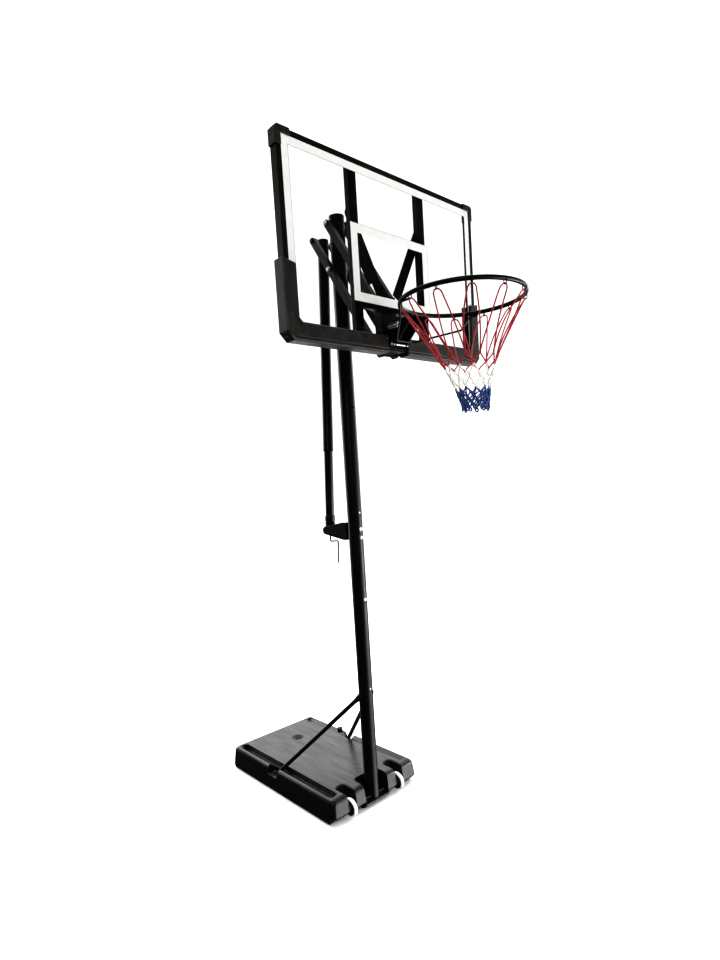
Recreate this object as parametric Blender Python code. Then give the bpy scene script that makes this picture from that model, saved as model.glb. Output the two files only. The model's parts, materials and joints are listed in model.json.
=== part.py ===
"""Portable basketball stand: weighted base on wheels, three-section pole, parallel arms raised by a
screw jack with a crank, clear framed backboard and a sprung breakaway rim with its net.

Metres, +Z up. X runs along the backboard's width and -Y points from the pole towards the court.
The origin is on the floor under the pole, at the base's underside."""

import math

import bmesh
import bpy
import numpy as np
from mathutils import Matrix, Vector

# Clearances
TOUCH_GAP = 0.0003      # between pieces that rest on each other
BORE_GAP = 0.0004       # round a pin or bolt, on the radius
SLIDE_GAP = 0.0006      # between pieces that move past each other

# Base tank
BASE_WIDTH = 0.570
BASE_FRONT_Y = -0.042
BASE_REAR_Y = 0.845
BASE_HEIGHT = 0.125
BASE_CORNER = 0.024
BASE_TOP_ROUND = 0.026
TROUGH_INSET = 0.049    # from the base's side to the trough's middle
TROUGH_WIDTH = 0.050
TROUGH_DEPTH = 0.028      # a steep wall at the deck, then a ramp up to the rim
TROUGH_END_MARGIN = 0.042
WHEEL_SLOT_WIDTH = 0.050
WHEEL_SLOT_FLARE = 0.009     # the moulded rim's spread at the top
TILT_CHAMFER_RUN = 0.047     # the front underside, cut away so that the stand can tip on its wheels
TILT_CHAMFER_RISE = 0.045
TILT_CHAMFER_MIDDLE_RUN = 0.028    # shorter in the middle, so that the floor is flat under the pole
TILT_CHAMFER_MIDDLE_RISE = 0.020
FOOT_RECESS_WIDTH = 0.150
FOOT_LEDGE_Z = 0.028
FILL_CAP_X = 0.030
FILL_CAP_Y = 0.640
FILL_CAP_RADIUS = 0.030

# Wheels and axle
WHEEL_RADIUS = 0.044
WHEEL_WIDTH = 0.034
WHEEL_INSET = 0.125     # from the base's side to the wheel's middle
AXLE_RECESS = 0.059     # depth of the side recesses that hold the axle's ends
AXLE_Y = -0.018
AXLE_RADIUS = 0.005
WHEEL_FLOOR_GAP = 0.002

# Pole
POLE_RADIUS = 0.035
POLE_WALL = 0.002
POLE_TOP_Z = 2.772
LOWER_JOINT_Z = 1.000
UPPER_JOINT_Z = 1.900
SPIGOT_LENGTH = 0.090
JOINT_BOLT_RISE = 0.018 # over the seam of two sections
JOINT_BOLT_RADIUS = 0.004

# Pole braces
BRACE_RADIUS = 0.011
BRACE_TAB_THICKNESS = 0.004
BRACE_TAB_WIDTH = 0.032
BRACE_POLE_Z = 0.546
BRACE_FOOT_INSET = 0.035
BRACE_FOOT_Y = 0.470
BRACE_TAB_RUN = 0.014
BRACE_POCKET_Z = 0.080
BRACE_POCKET_INSET = 0.027
BRACE_POCKET_Y = 0.455
BRACE_POCKET_RADIUS = 0.040
BRACE_CHANNEL_RADIUS = 0.021
BRACE_SCREW_DEPTH = 0.030

# Lift arms
UPPER_PIVOT_DROP = 0.040    # under the pole's top
PIVOT_SPACING = 0.200
ARM_OFFSET_X = 0.055
ARM_THICKNESS = 0.024
ARM_HEIGHT = 0.030
ARM_BOSS_RADIUS = 0.0110
ARM_REACH_Y = 0.270     # pole axis to the board pivots, as photographed
ARM_DROP_Z = 0.410      # height of a board pivot under its pole pivot, as photographed
JACK_LEVER = 0.187
PIVOT_BOLT_RADIUS = 0.005

# Screw jack
JACK_FOOT_Y = 0.187
JACK_FOOT_Z = 1.345
JACK_LOWER_RADIUS = 0.0215
JACK_UPPER_RADIUS = 0.0260
JACK_WALL = 0.0020
JACK_COLLAR_RADIUS = 0.0250
JACK_COLLAR_HEIGHT = 0.090
JACK_COLLAR_BELOW = 0.018
JACK_HEAD_ABOVE = 0.018
JACK_HEAD_LENGTH = 0.036
JACK_UPPER_LENGTH = 0.976
JACK_OVERLAP = 0.571
JACK_PUSH_RADIUS = 0.0150
JACK_PUSH_LENGTH = 0.800
JACK_NUT_HEIGHT = 0.030
JACK_SCREW_RADIUS = 0.0070
JACK_SCREW_LENGTH = 0.900
CRANK_ROD_RADIUS = 0.0040
CRANK_DROP = 0.038
CRANK_THROW = 0.050
CRANK_HANDLE_LENGTH = 0.115
CRANK_BEND_RADIUS = 0.012

# Jack bracket on the pole
BRACKET_PLATE = 0.003
BRACKET_HALF_WIDTH = 0.0290
BRACKET_POLE_HEIGHT = 0.084
BRACKET_NOSE_HEIGHT = 0.036
BRACKET_BOLT_SPACING = 0.040
BRACKET_BOLT_DROP = 0.011   # the bolts' middle under the jack's pivot

# Backboard
TUBE_WALL = 0.002
BOARD_WIDTH = 1.120
BOARD_HEIGHT = 0.720
BOARD_BOTTOM_DROP = 0.620   # under the upper pole pivot
BOARD_FRONT_Y = -0.331
FRAME_FACE = 0.022
FRAME_DEPTH = 0.035
FRAME_LIP = 0.010
FRAME_LIP_THICKNESS = 0.003
PANEL_THICKNESS = 0.004
PANEL_SETBACK = 0.0003
POST_OFFSET_X = 0.199
POST_WIDTH = 0.042
POST_DEPTH = 0.0250
CROSSBAR_RISE = 0.178       # over the board's lower edge, as the next rises are
CROSSBAR_HEIGHT = 0.038
LEG_FOOT_X = 0.047
LEG_FOOT_RISE = 0.233
LEG_HEAD_RISE = 0.520
LEG_WIDTH = 0.046
LEG_PLATE = 0.004
LEG_RIB_DEPTH = 0.022
CHANNEL_HALF_WIDTH = 0.0425
CHANNEL_PLATE = 0.003
CHANNEL_DEPTH = 0.044
CHANNEL_MARGIN = 0.026

# Corner guards of the backboard
CAP_REACH = 0.062
CAP_THICKNESS = 0.004
PAD_SIDE_THICKNESS = 0.012
PAD_FRONT_THICKNESS = 0.012
PAD_REAR_THICKNESS = 0.008
PAD_BAND = 0.058
PAD_INNER_X = 0.056
PAD_ARM_RISE = 0.273        # over the board's lower edge
PAD_ARM_SLANT = 0.012
PAD_CHAMFER = 0.030

# Rim
RING_RADIUS = 0.2335
RING_ROD_RADIUS = 0.0085
RING_RISE = 0.128           # over the board's lower edge
RING_CENTRE_Y = -0.675
HOOK_COUNT = 12
HOOK_RADIUS = 0.0065
HOOK_WIRE_RADIUS = 0.0018
HOOK_DROP = 0.0120
MOUNT_PLATE = 0.003
MOUNT_HALF_WIDTH = 0.085
MOUNT_TOP_RISE = 0.018      # over the ring, and the next drops are under it
MOUNT_SHOULDER_DROP = 0.058
MOUNT_FOOT_HALF_WIDTH = 0.052
MOUNT_BOTTOM_DROP = 0.120
HINGE_DROP = 0.105
HINGE_RADIUS = 0.0040
HINGE_STANDOFF = 0.016
KNUCKLE_WALL = 0.0035
HINGE_EAR_X = 0.046
CARRIER_HALF_WIDTH = 0.078
CARRIER_PLATE = 0.004
NECK_HALF_WIDTH = 0.034
SPRING_X = 0.055
SPRING_DROP = 0.035
SPRING_LENGTH = 0.056
SPRING_RADIUS = 0.0095
SPRING_WIRE_RADIUS = 0.0013
SPRING_TURNS = 7
SPRING_BOLT_RADIUS = 0.0035
STRUT_RADIUS = 0.0040
STRUT_BEND_DROP = 0.062
STRUT_RING_ANGLE = 25.0

# Net
NET_DROP = 0.415            # from the ring to the lowest knots
NET_TOP_RADIUS = 0.2260
NET_BOTTOM_RADIUS = 0.0620
NET_ROWS = 7
NET_CORD_WIDTH = 0.0032

# Near is -X and far is +X, as photographed
SIDES = ((-1, "near"), (1, "far"))

# Derived places
TROUGH_CENTRE_X = BASE_WIDTH / 2 - TROUGH_INSET
WHEEL_X = BASE_WIDTH / 2 - WHEEL_INSET
AXLE_SEAT_X = BASE_WIDTH / 2 - AXLE_RECESS
BRACE_FOOT_X = BASE_WIDTH / 2 - BRACE_FOOT_INSET
BRACE_POCKET_X = BASE_WIDTH / 2 - BRACE_POCKET_INSET
UPPER_PIVOT_Z = POLE_TOP_Z - UPPER_PIVOT_DROP
LOWER_PIVOT_Z = UPPER_PIVOT_Z - PIVOT_SPACING
BOARD_BOTTOM_Z = UPPER_PIVOT_Z - BOARD_BOTTOM_DROP
BOARD_TOP_Z = BOARD_BOTTOM_Z + BOARD_HEIGHT
CROSSBAR_Z = BOARD_BOTTOM_Z + CROSSBAR_RISE
LEG_FOOT_Z = BOARD_BOTTOM_Z + LEG_FOOT_RISE
LEG_HEAD_Z = BOARD_BOTTOM_Z + LEG_HEAD_RISE
PAD_ARM_TOP_Z = BOARD_BOTTOM_Z + PAD_ARM_RISE
RING_Z = BOARD_BOTTOM_Z + RING_RISE
MOUNT_TOP_Z = RING_Z + MOUNT_TOP_RISE
MOUNT_SHOULDER_Z = RING_Z - MOUNT_SHOULDER_DROP
MOUNT_BOTTOM_Z = RING_Z - MOUNT_BOTTOM_DROP
HINGE_Z = RING_Z - HINGE_DROP
SPRING_Z = RING_Z - SPRING_DROP
NET_BOTTOM_Z = RING_Z - NET_DROP
ARM_LENGTH = math.hypot(ARM_REACH_Y, ARM_DROP_Z)
ARM_DIRECTION = np.array([0.0, -ARM_REACH_Y, -ARM_DROP_Z]) / ARM_LENGTH
BOARD_PIVOT_Y = -ARM_REACH_Y
AXLE_Z = WHEEL_RADIUS + WHEEL_FLOOR_GAP
ARM_INNER_X = ARM_OFFSET_X - ARM_THICKNESS / 2
ARM_OUTER_X = ARM_OFFSET_X + ARM_THICKNESS / 2
JACK_HEAD = np.array([0.0, 0.0, LOWER_PIVOT_Z]) - JACK_LEVER * ARM_DIRECTION
JACK_FOOT = np.array([0.0, JACK_FOOT_Y, JACK_FOOT_Z])
JACK_SPAN = float(np.linalg.norm(JACK_HEAD - JACK_FOOT))
JACK_TILT = math.atan2(JACK_FOOT[1] - JACK_HEAD[1], JACK_HEAD[2] - JACK_FOOT[2])
FRAME_REAR_Y = BOARD_FRONT_Y + FRAME_DEPTH
PANEL_FRONT_Y = BOARD_FRONT_Y + PANEL_SETBACK
PANEL_REAR_Y = PANEL_FRONT_Y + PANEL_THICKNESS
POST_FRONT_Y = PANEL_REAR_Y + FRAME_LIP_THICKNESS + 2 * TOUCH_GAP
POST_REAR_Y = POST_FRONT_Y + POST_DEPTH
LEG_REAR_Y = POST_REAR_Y + TOUCH_GAP + LEG_PLATE
CHANNEL_FRONT_Y = max(LEG_REAR_Y, FRAME_REAR_Y) + TOUCH_GAP
MOUNT_REAR_Y = BOARD_FRONT_Y - TOUCH_GAP
MOUNT_FRONT_Y = MOUNT_REAR_Y - MOUNT_PLATE
HINGE_Y = MOUNT_FRONT_Y - HINGE_STANDOFF
CARRIER_REAR_Y = MOUNT_FRONT_Y - TOUCH_GAP
CARRIER_FRONT_Y = CARRIER_REAR_Y - CARRIER_PLATE
RING_REAR_Y = RING_CENTRE_Y + RING_RADIUS


def start_empty_scene():
    """Removes every object of the open file."""
    for obj in list(bpy.data.objects):
        bpy.data.objects.remove(obj, do_unlink=True)


def material(name, colour, roughness, metallic=0.0, alpha=1.0):
    """A plain Principled BSDF material."""
    made = bpy.data.materials.new(name)
    made.use_nodes = True
    shader = made.node_tree.nodes["Principled BSDF"]
    shader.inputs["Base Color"].default_value = (*colour, 1.0)
    shader.inputs["Roughness"].default_value = roughness
    shader.inputs["Metallic"].default_value = metallic
    shader.inputs["Alpha"].default_value = alpha
    return made


def mesh_object(name, vertices, faces, finish, sharp_angle=35.0):
    """An object from a closed skin, with its faces turned outwards and its round parts smooth."""
    mesh = bpy.data.meshes.new(name)
    mesh.from_pydata([tuple(map(float, v)) for v in vertices], [], [tuple(f) for f in faces])
    body = bmesh.new()
    body.from_mesh(mesh)
    bmesh.ops.recalc_face_normals(body, faces=body.faces)
    body.to_mesh(mesh)
    body.free()
    mesh.shade_smooth()
    mesh.set_sharp_from_angle(angle=math.radians(sharp_angle))
    if finish is not None:
        mesh.materials.append(finish)
    obj = bpy.data.objects.new(name, mesh)
    bpy.context.scene.collection.objects.link(obj)
    return obj


def skin(rings, wrap=False):
    """Vertices and faces through equal rings of points: capped at both ends, or wrapped round."""
    count = len(rings[0])
    vertices = [point for ring in rings for point in ring]
    steps = len(rings) if wrap else len(rings) - 1
    faces = []
    for i in range(steps):
        here = i * count
        there = (i + 1) % len(rings) * count
        for j in range(count):
            k = (j + 1) % count
            faces.append((here + j, here + k, there + k, there + j))
    if not wrap:
        faces.append(tuple(reversed(range(count))))
        faces.append(tuple(range(steps * count, steps * count + count)))
    return vertices, faces


def circle(centre, across, up, radius, count, radius_up=None):
    """A ring of points round a centre in the plane of two unit vectors."""
    turns = np.arange(count) * 2 * math.pi / count
    across_part = np.outer(np.cos(turns), across) * radius
    up_part = np.outer(np.sin(turns), up) * (radius if radius_up is None else radius_up)
    return np.asarray(centre) + across_part + up_part


def side_vectors(direction):
    """Two unit vectors square to a direction and to each other."""
    along = Vector(direction).normalized()
    seed = Vector((1, 0, 0)) if abs(along.x) < 0.9 else Vector((0, 1, 0))
    across = (seed - seed.dot(along) * along).normalized()
    return np.array(across), np.array(along.cross(across))


def rod(name, start, end, radius, finish, count=12):
    """A solid round bar between two points."""
    start, end = np.asarray(start, float), np.asarray(end, float)
    across, up = side_vectors(end - start)
    rings = [circle(point, across, up, radius, count) for point in (start, end)]
    return mesh_object(name, *skin(rings), finish)


def turned(name, base, direction, profile, finish, count=20):
    """A turned solid: profile is a closed run of (radius, height) points off the axis."""
    base, direction = np.asarray(base, float), np.asarray(direction, float)
    direction = direction / np.linalg.norm(direction)
    across, up = side_vectors(direction)
    rings = [circle(base + direction * height, across, up, radius, count) for radius, height in profile]
    return mesh_object(name, *skin(rings, wrap=True), finish)


def turned_solid(name, base, direction, profile, finish, count=20):
    """A turned solid with flat ends: profile runs from one end to the other, all off the axis."""
    base, direction = np.asarray(base, float), np.asarray(direction, float)
    direction = direction / np.linalg.norm(direction)
    across, up = side_vectors(direction)
    rings = [circle(base + direction * height, across, up, radius, count) for radius, height in profile]
    return mesh_object(name, *skin(rings), finish)


def box(name, low, high, finish):
    """A block between two opposite corners."""
    (x0, y0, z0), (x1, y1, z1) = low, high
    rings = [[(x0, y0, z), (x1, y0, z), (x1, y1, z), (x0, y1, z)] for z in (z0, z1)]
    return mesh_object(name, *skin(rings), finish)


def prism(name, outline, axis, start, end, finish):
    """An outline of (a, b) points drawn out along X, Y or Z; a and b are the other two axes in order."""
    places = {"x": (1, 2, 0), "y": (0, 2, 1), "z": (0, 1, 2)}[axis]
    rings = []
    for depth in (start, end):
        ring = np.zeros((len(outline), 3))
        ring[:, places[0]] = [point[0] for point in outline]
        ring[:, places[1]] = [point[1] for point in outline]
        ring[:, places[2]] = depth
        rings.append(ring)
    return mesh_object(name, *skin(rings), finish)


def rounded_rectangle(x0, x1, y0, y1, radius, steps=5):
    """Outline of a rectangle with quarter-circle corners."""
    outline = []
    corners = [(x1 - radius, y1 - radius, 0), (x0 + radius, y1 - radius, 1),
               (x0 + radius, y0 + radius, 2), (x1 - radius, y0 + radius, 3)]
    for centre_x, centre_y, quarter in corners:
        for step in range(steps + 1):
            turn = (quarter + step / steps) * math.pi / 2
            outline.append((centre_x + radius * math.cos(turn), centre_y + radius * math.sin(turn)))
    return outline


def tapered_block(name, footprints, finish):
    """A solid through rounded rectangles: each footprint is (height, x0, x1, y0, y1, radius)."""
    rings = []
    for height, x0, x1, y0, y1, radius in footprints:
        outline = rounded_rectangle(x0, x1, y0, y1, radius)
        rings.append([(x, y, height) for x, y in outline])
    return mesh_object(name, *skin(rings), finish)


def swept_tube(name, path, radius, finish, sides=8):
    """A round wire or tube along points, its rings turned with the path and never twisted."""
    points = np.asarray(path, float)
    tangents = np.gradient(points, axis=0)
    tangents /= np.linalg.norm(tangents, axis=1)[:, None]
    across, _ = side_vectors(tangents[0])
    rings = []
    for point, tangent in zip(points, tangents):
        across = across - tangent * float(across @ tangent)
        across = across / np.linalg.norm(across)
        rings.append(circle(point, across, np.cross(tangent, across), radius, sides))
    return mesh_object(name, *skin(rings), finish)


def rounded_path(corners, radius, steps=5):
    """A path through corner points, each inner corner rounded to a radius by an arc of steps."""
    corners = [np.asarray(corner, float) for corner in corners]
    path = [corners[0]]
    for before, corner, after in zip(corners, corners[1:], corners[2:]):
        arriving = (corner - before) / np.linalg.norm(corner - before)
        leaving = (after - corner) / np.linalg.norm(after - corner)
        turn = math.acos(float(np.clip(arriving @ leaving, -1, 1)))
        cut = radius * math.tan(turn / 2)
        for step in range(steps + 1):
            share = step / steps
            # A quadratic curve is close to the arc for turns up to a right angle
            entry = corner - arriving * cut * (1 - share)
            exit_point = corner + leaving * cut * share
            path.append(entry * (1 - share) + exit_point * share)
    path.append(corners[-1])
    return path


def carve(target, cutters, operation="DIFFERENCE"):
    """Cuts the cutters out of the target, or joins them to it, and removes them."""
    for cutter in cutters:
        boolean = target.modifiers.new("boolean", "BOOLEAN")
        boolean.operation = operation
        boolean.solver = "EXACT"
        boolean.object = cutter
    bpy.context.view_layer.update()
    evaluated = target.evaluated_get(bpy.context.evaluated_depsgraph_get())
    mesh = bpy.data.meshes.new_from_object(evaluated)
    mesh.name = target.name
    close_slits(mesh)
    mesh.set_sharp_from_angle(angle=math.radians(35))
    target.modifiers.clear()
    target.data = mesh
    for cutter in cutters:
        bpy.data.objects.remove(cutter, do_unlink=True)
    return target


def close_slits(mesh):
    """Fills the hairline slits that a cut can leave beside a point that falls on an edge."""
    body = bmesh.new()
    body.from_mesh(mesh)
    open_edges = [edge for edge in body.edges if len(edge.link_faces) == 1]
    if open_edges:
        bmesh.ops.holes_fill(body, edges=open_edges, sides=4)
        body.to_mesh(mesh)
    body.free()


def drill(target, start, end, radius, count=12):
    """Cuts a round hole between two points."""
    return carve(target, [rod("drill", start, end, radius, None, count)])


def hexagon(centre, across, up, flats, count=12):
    """Twelve points on a hexagon of a given width across flats, its sides very slightly crowned."""
    ring = []
    for step in range(count):
        turn = step * 2 * math.pi / count
        reach = flats / 2 * 1.01 if step % 2 else flats / 2 / math.cos(math.pi / 6)
        ring.append(np.asarray(centre) + reach * (math.cos(turn) * across + math.sin(turn) * up))
    return np.array(ring)


def bolt(name, head_seat, nut_seat, shank, finish, head=None, nut=True):
    """A hexagon bolt: head outside head_seat, shank to nut_seat, and a nut outside that."""
    head_seat, nut_seat = np.asarray(head_seat, float), np.asarray(nut_seat, float)
    along = (nut_seat - head_seat) / np.linalg.norm(nut_seat - head_seat)
    across, up = side_vectors(along)
    flats = head if head else shank * 3.2
    length = float(np.linalg.norm(nut_seat - head_seat))
    head_height = shank * 1.3
    washer_height = shank * 0.3
    stations = [(-washer_height - head_height, "hex", flats), (-washer_height, "hex", flats),
                (-washer_height, "round", flats * 0.66), (0, "round", flats * 0.66),
                (0, "round", shank), (length, "round", shank)]
    if nut:
        stations += [(length, "hex", flats), (length + head_height, "hex", flats)]
    rings = []
    for distance, kind, size in stations:
        centre = head_seat + along * distance
        if kind == "hex":
            rings.append(hexagon(centre, across, up, size))
        else:
            rings.append(circle(centre, across, up, size, 12))
    return mesh_object(name, *skin(rings), finish)


def axis_empty(name, place, parent=None, tilt=0.0):
    """An empty on a joint's axis, tilted about X where the joint's piece is."""
    empty = bpy.data.objects.new(name, None)
    empty.empty_display_size = 0.05
    bpy.context.scene.collection.objects.link(empty)
    world = Matrix.Translation(Vector(place)) @ Matrix.Rotation(tilt, 4, "X")
    if parent is not None:
        empty.parent = parent
        empty.matrix_parent_inverse = Matrix.Identity(4)
        world = parent.matrix_world.inverted() @ world
    empty.matrix_local = world
    bpy.context.view_layer.update()
    return empty


def carry(pieces, empty):
    """Parents pieces built in world places to an empty, with their own origins on its axis."""
    to_local = empty.matrix_world.inverted()
    for piece in pieces:
        piece.data.transform(to_local)
        piece.parent = empty
        piece.matrix_parent_inverse = Matrix.Identity(4)
    return pieces


def palette():
    """Every material by name."""
    return {
        "base_plastic": material("base_plastic", (0.016, 0.016, 0.017), 0.42),
        "cap_plastic": material("cap_plastic", (0.022, 0.022, 0.023), 0.5),
        "pad_plastic": material("pad_plastic", (0.020, 0.019, 0.018), 0.38),
        "black_steel": material("black_steel", (0.018, 0.018, 0.017), 0.4, 0.0),
        "zinc_steel": material("zinc_steel", (0.56, 0.55, 0.52), 0.35, 1.0),
        "spring_steel": material("spring_steel", (0.68, 0.68, 0.66), 0.25, 1.0),
        "clear_panel": material("clear_panel", (0.93, 0.95, 0.96), 0.08, 0.0, 0.25),
        "wheel_plastic": material("wheel_plastic", (0.05, 0.05, 0.05), 0.5),
        "net_cord": material("net_cord", (0.55, 0.05, 0.06), 0.85),
    }


def base_shell(finish):
    """The tank: a rounded block with drafted walls, side troughs, slots, foot recess and pockets."""
    half = BASE_WIDTH / 2
    round_steps = [(0.0, 0.012), (0.010, 0.002), (0.024, 0.0), (BASE_HEIGHT - BASE_TOP_ROUND, 0.008)]
    for step in range(1, 4):
        turn = step / 3 * math.pi / 2
        height = BASE_HEIGHT - BASE_TOP_ROUND * (1 - math.sin(turn))
        round_steps.append((height, 0.008 + BASE_TOP_ROUND * (1 - math.cos(turn))))
    footprints = []
    for height, inset in round_steps:
        footprints.append((height, -half + inset, half - inset, BASE_FRONT_Y + inset, BASE_REAR_Y - inset,
                           BASE_CORNER - inset * 0.5))
    base = tapered_block("base", footprints, finish)
    cutters = []
    trough_bottom = BASE_HEIGHT - TROUGH_DEPTH
    for side in (-1, 1):
        middle = side * TROUGH_CENTRE_X
        reach = TROUGH_WIDTH / 2
        front = BASE_FRONT_Y + TROUGH_END_MARGIN
        rear = BASE_REAR_Y - TROUGH_END_MARGIN
        deck = middle - side * reach
        floor_low, floor_high = sorted((deck + side * 0.003, deck + side * 0.013))
        cutters.append(tapered_block("trough", [
            (trough_bottom, floor_low, floor_high, front + 0.030, rear - 0.012, 0.004),
            (BASE_HEIGHT, middle - reach, middle + reach, front, rear, 0.020),
            (BASE_HEIGHT + 0.01, middle - reach - 0.003, middle + reach + 0.003, front - 0.003, rear + 0.003,
             0.023)], None))
        slot_low, slot_high = side * WHEEL_X - WHEEL_SLOT_WIDTH / 2, side * WHEEL_X + WHEEL_SLOT_WIDTH / 2
        slot_rear = AXLE_Y + WHEEL_RADIUS + 0.030
        slot_steps = [(-0.05, 0.0), (BASE_HEIGHT - 0.020, 0.0), (BASE_HEIGHT - 0.006, 0.3), (BASE_HEIGHT, 1.0),
                      (BASE_HEIGHT + 0.05, 1.0)]
        cutters.append(tapered_block("wheel_slot", [
            (height, slot_low - flare, slot_high + flare, BASE_FRONT_Y - 0.1, slot_rear + flare, 0.014 + flare)
            for height, flare in [(height, share * WHEEL_SLOT_FLARE) for height, share in slot_steps]], None))
        cutters.append(front_chamfer(side * FOOT_RECESS_WIDTH / 2 + side * 0.002, side * (half + 0.02),
                                     TILT_CHAMFER_RUN, TILT_CHAMFER_RISE))
        pocket_floor = (side * BRACE_POCKET_X, BRACE_POCKET_Y, BRACE_POCKET_Z)
        cutters.append(turned_solid("pocket", pocket_floor, (0, 0, 1),
                                    [(BRACE_POCKET_RADIUS, 0), (BRACE_POCKET_RADIUS * 1.35, 0.1)], None))
        line = brace_line(side)
        uphill = line["tube_start"] - line["tube_end"]
        uphill /= np.linalg.norm(uphill)
        channel_start = line["tube_end"] + np.array([0, 0, BRACE_CHANNEL_RADIUS - BRACE_RADIUS])
        cutters.append(rod("channel", channel_start, channel_start + uphill * 0.15, BRACE_CHANNEL_RADIUS,
                           None, 24))
        outer = half + 0.05
        cutters.append(rod("screw_hole", (side * BRACE_FOOT_X, BRACE_FOOT_Y, BRACE_POCKET_Z + 0.01),
                           (side * BRACE_FOOT_X, BRACE_FOOT_Y, BRACE_POCKET_Z - BRACE_SCREW_DEPTH - 0.002),
                           PIVOT_BOLT_RADIUS + BORE_GAP, None))
        cutters.append(rod("nut_recess", (side * AXLE_SEAT_X, AXLE_Y, AXLE_Z), (side * outer, AXLE_Y, AXLE_Z),
                           0.0125, None))
    recess = FOOT_RECESS_WIDTH / 2
    cutters.append(tapered_block("foot_recess", [
        (FOOT_LEDGE_Z, -recess, recess, BASE_FRONT_Y - 0.1, POLE_RADIUS + 0.014, 0.028),
        (BASE_HEIGHT + 0.05, -recess - 0.006, recess + 0.006, BASE_FRONT_Y - 0.1, POLE_RADIUS + 0.020,
         0.028)], None))
    cutters.append(front_chamfer(-recess - 0.002, recess + 0.002, TILT_CHAMFER_MIDDLE_RUN,
                                 TILT_CHAMFER_MIDDLE_RISE))
    cutters.append(rod("axle_bore", (-half - 0.05, AXLE_Y, AXLE_Z), (half + 0.05, AXLE_Y, AXLE_Z),
                       AXLE_RADIUS + BORE_GAP, None))
    cutters.append(rod("fill_hole", (FILL_CAP_X, FILL_CAP_Y, BASE_HEIGHT - 0.012),
                       (FILL_CAP_X, FILL_CAP_Y, BASE_HEIGHT + 0.01), FILL_CAP_RADIUS + 0.002, None, 32))
    return carve(base, cutters)


def front_chamfer(start, end, run, rise):
    """A wedge that cuts the base's front underside, from the front face down to the floor."""
    rear, front = BASE_FRONT_Y + run, BASE_FRONT_Y - 0.02
    slope = rise / run
    outline = [(rear + 0.01 / slope, -0.01), (front, rise + 0.02 * slope), (front, -0.01)]
    return prism("front_chamfer", outline, "x", start, end, None)


def fill_cap(finish):
    """The round fill cap, recessed in the base's top, with a raised grip bar."""
    bottom = BASE_HEIGHT - 0.012 + TOUCH_GAP
    cap = turned_solid("base_fill_cap", (FILL_CAP_X, FILL_CAP_Y, bottom), (0, 0, 1),
                       [(FILL_CAP_RADIUS, 0), (FILL_CAP_RADIUS, 0.010), (FILL_CAP_RADIUS - 0.003, 0.012),
                        (FILL_CAP_RADIUS - 0.007, 0.012), (FILL_CAP_RADIUS - 0.009, 0.008)], finish)
    grip = box("grip", (FILL_CAP_X - FILL_CAP_RADIUS + 0.008, FILL_CAP_Y - 0.0035, bottom + 0.004),
               (FILL_CAP_X + FILL_CAP_RADIUS - 0.008, FILL_CAP_Y + 0.0035, bottom + 0.0125), None)
    return carve(cap, [grip], "UNION")


def wheel(name, side, finish):
    """A plastic transport wheel with a dished web, a hub and a bore, its origin on the axle."""
    half = WHEEL_WIDTH / 2
    bore = AXLE_RADIUS + BORE_GAP
    rim = WHEEL_RADIUS * 0.78
    hub = WHEEL_RADIUS * 0.36
    hub_half = WHEEL_SLOT_WIDTH / 2 - SLIDE_GAP * 2
    profile = [(bore, -hub_half), (hub, -hub_half), (hub, -half * 0.45), (rim, -half * 0.45), (rim, -half),
               (WHEEL_RADIUS, -half + 0.003), (WHEEL_RADIUS, half - 0.003), (rim, half), (rim, half * 0.45),
               (hub, half * 0.45), (hub, hub_half), (bore, hub_half)]
    made = turned(name, (side * WHEEL_X, AXLE_Y, AXLE_Z), (1, 0, 0), profile, finish, 24)
    empty = axis_empty(name + "_axis", (side * WHEEL_X, AXLE_Y, AXLE_Z))
    carry([made], empty)
    return made


def wheel_axle(finish):
    """The steel axle through the base's lobes, both wheels and the pole's foot, headed at one end."""
    seat = AXLE_SEAT_X + TOUCH_GAP
    return turned_solid("wheel_axle", (0, AXLE_Y, AXLE_Z), (1, 0, 0), [
        (AXLE_RADIUS, -seat - 0.009), (AXLE_RADIUS, seat), (0.0095, seat), (0.0095, seat + 0.002),
        (0.0065, seat + 0.004)], finish, 20)


def axle_nut(finish):
    """The push nut that holds the axle's other end in its side recess."""
    return turned("axle_push_nut", (-AXLE_SEAT_X - TOUCH_GAP, AXLE_Y, AXLE_Z), (-1, 0, 0), [
        (AXLE_RADIUS + TOUCH_GAP, 0), (0.0105, 0), (0.0105, 0.003), (0.007, 0.007),
        (AXLE_RADIUS + TOUCH_GAP, 0.007)], finish, 20)


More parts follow.
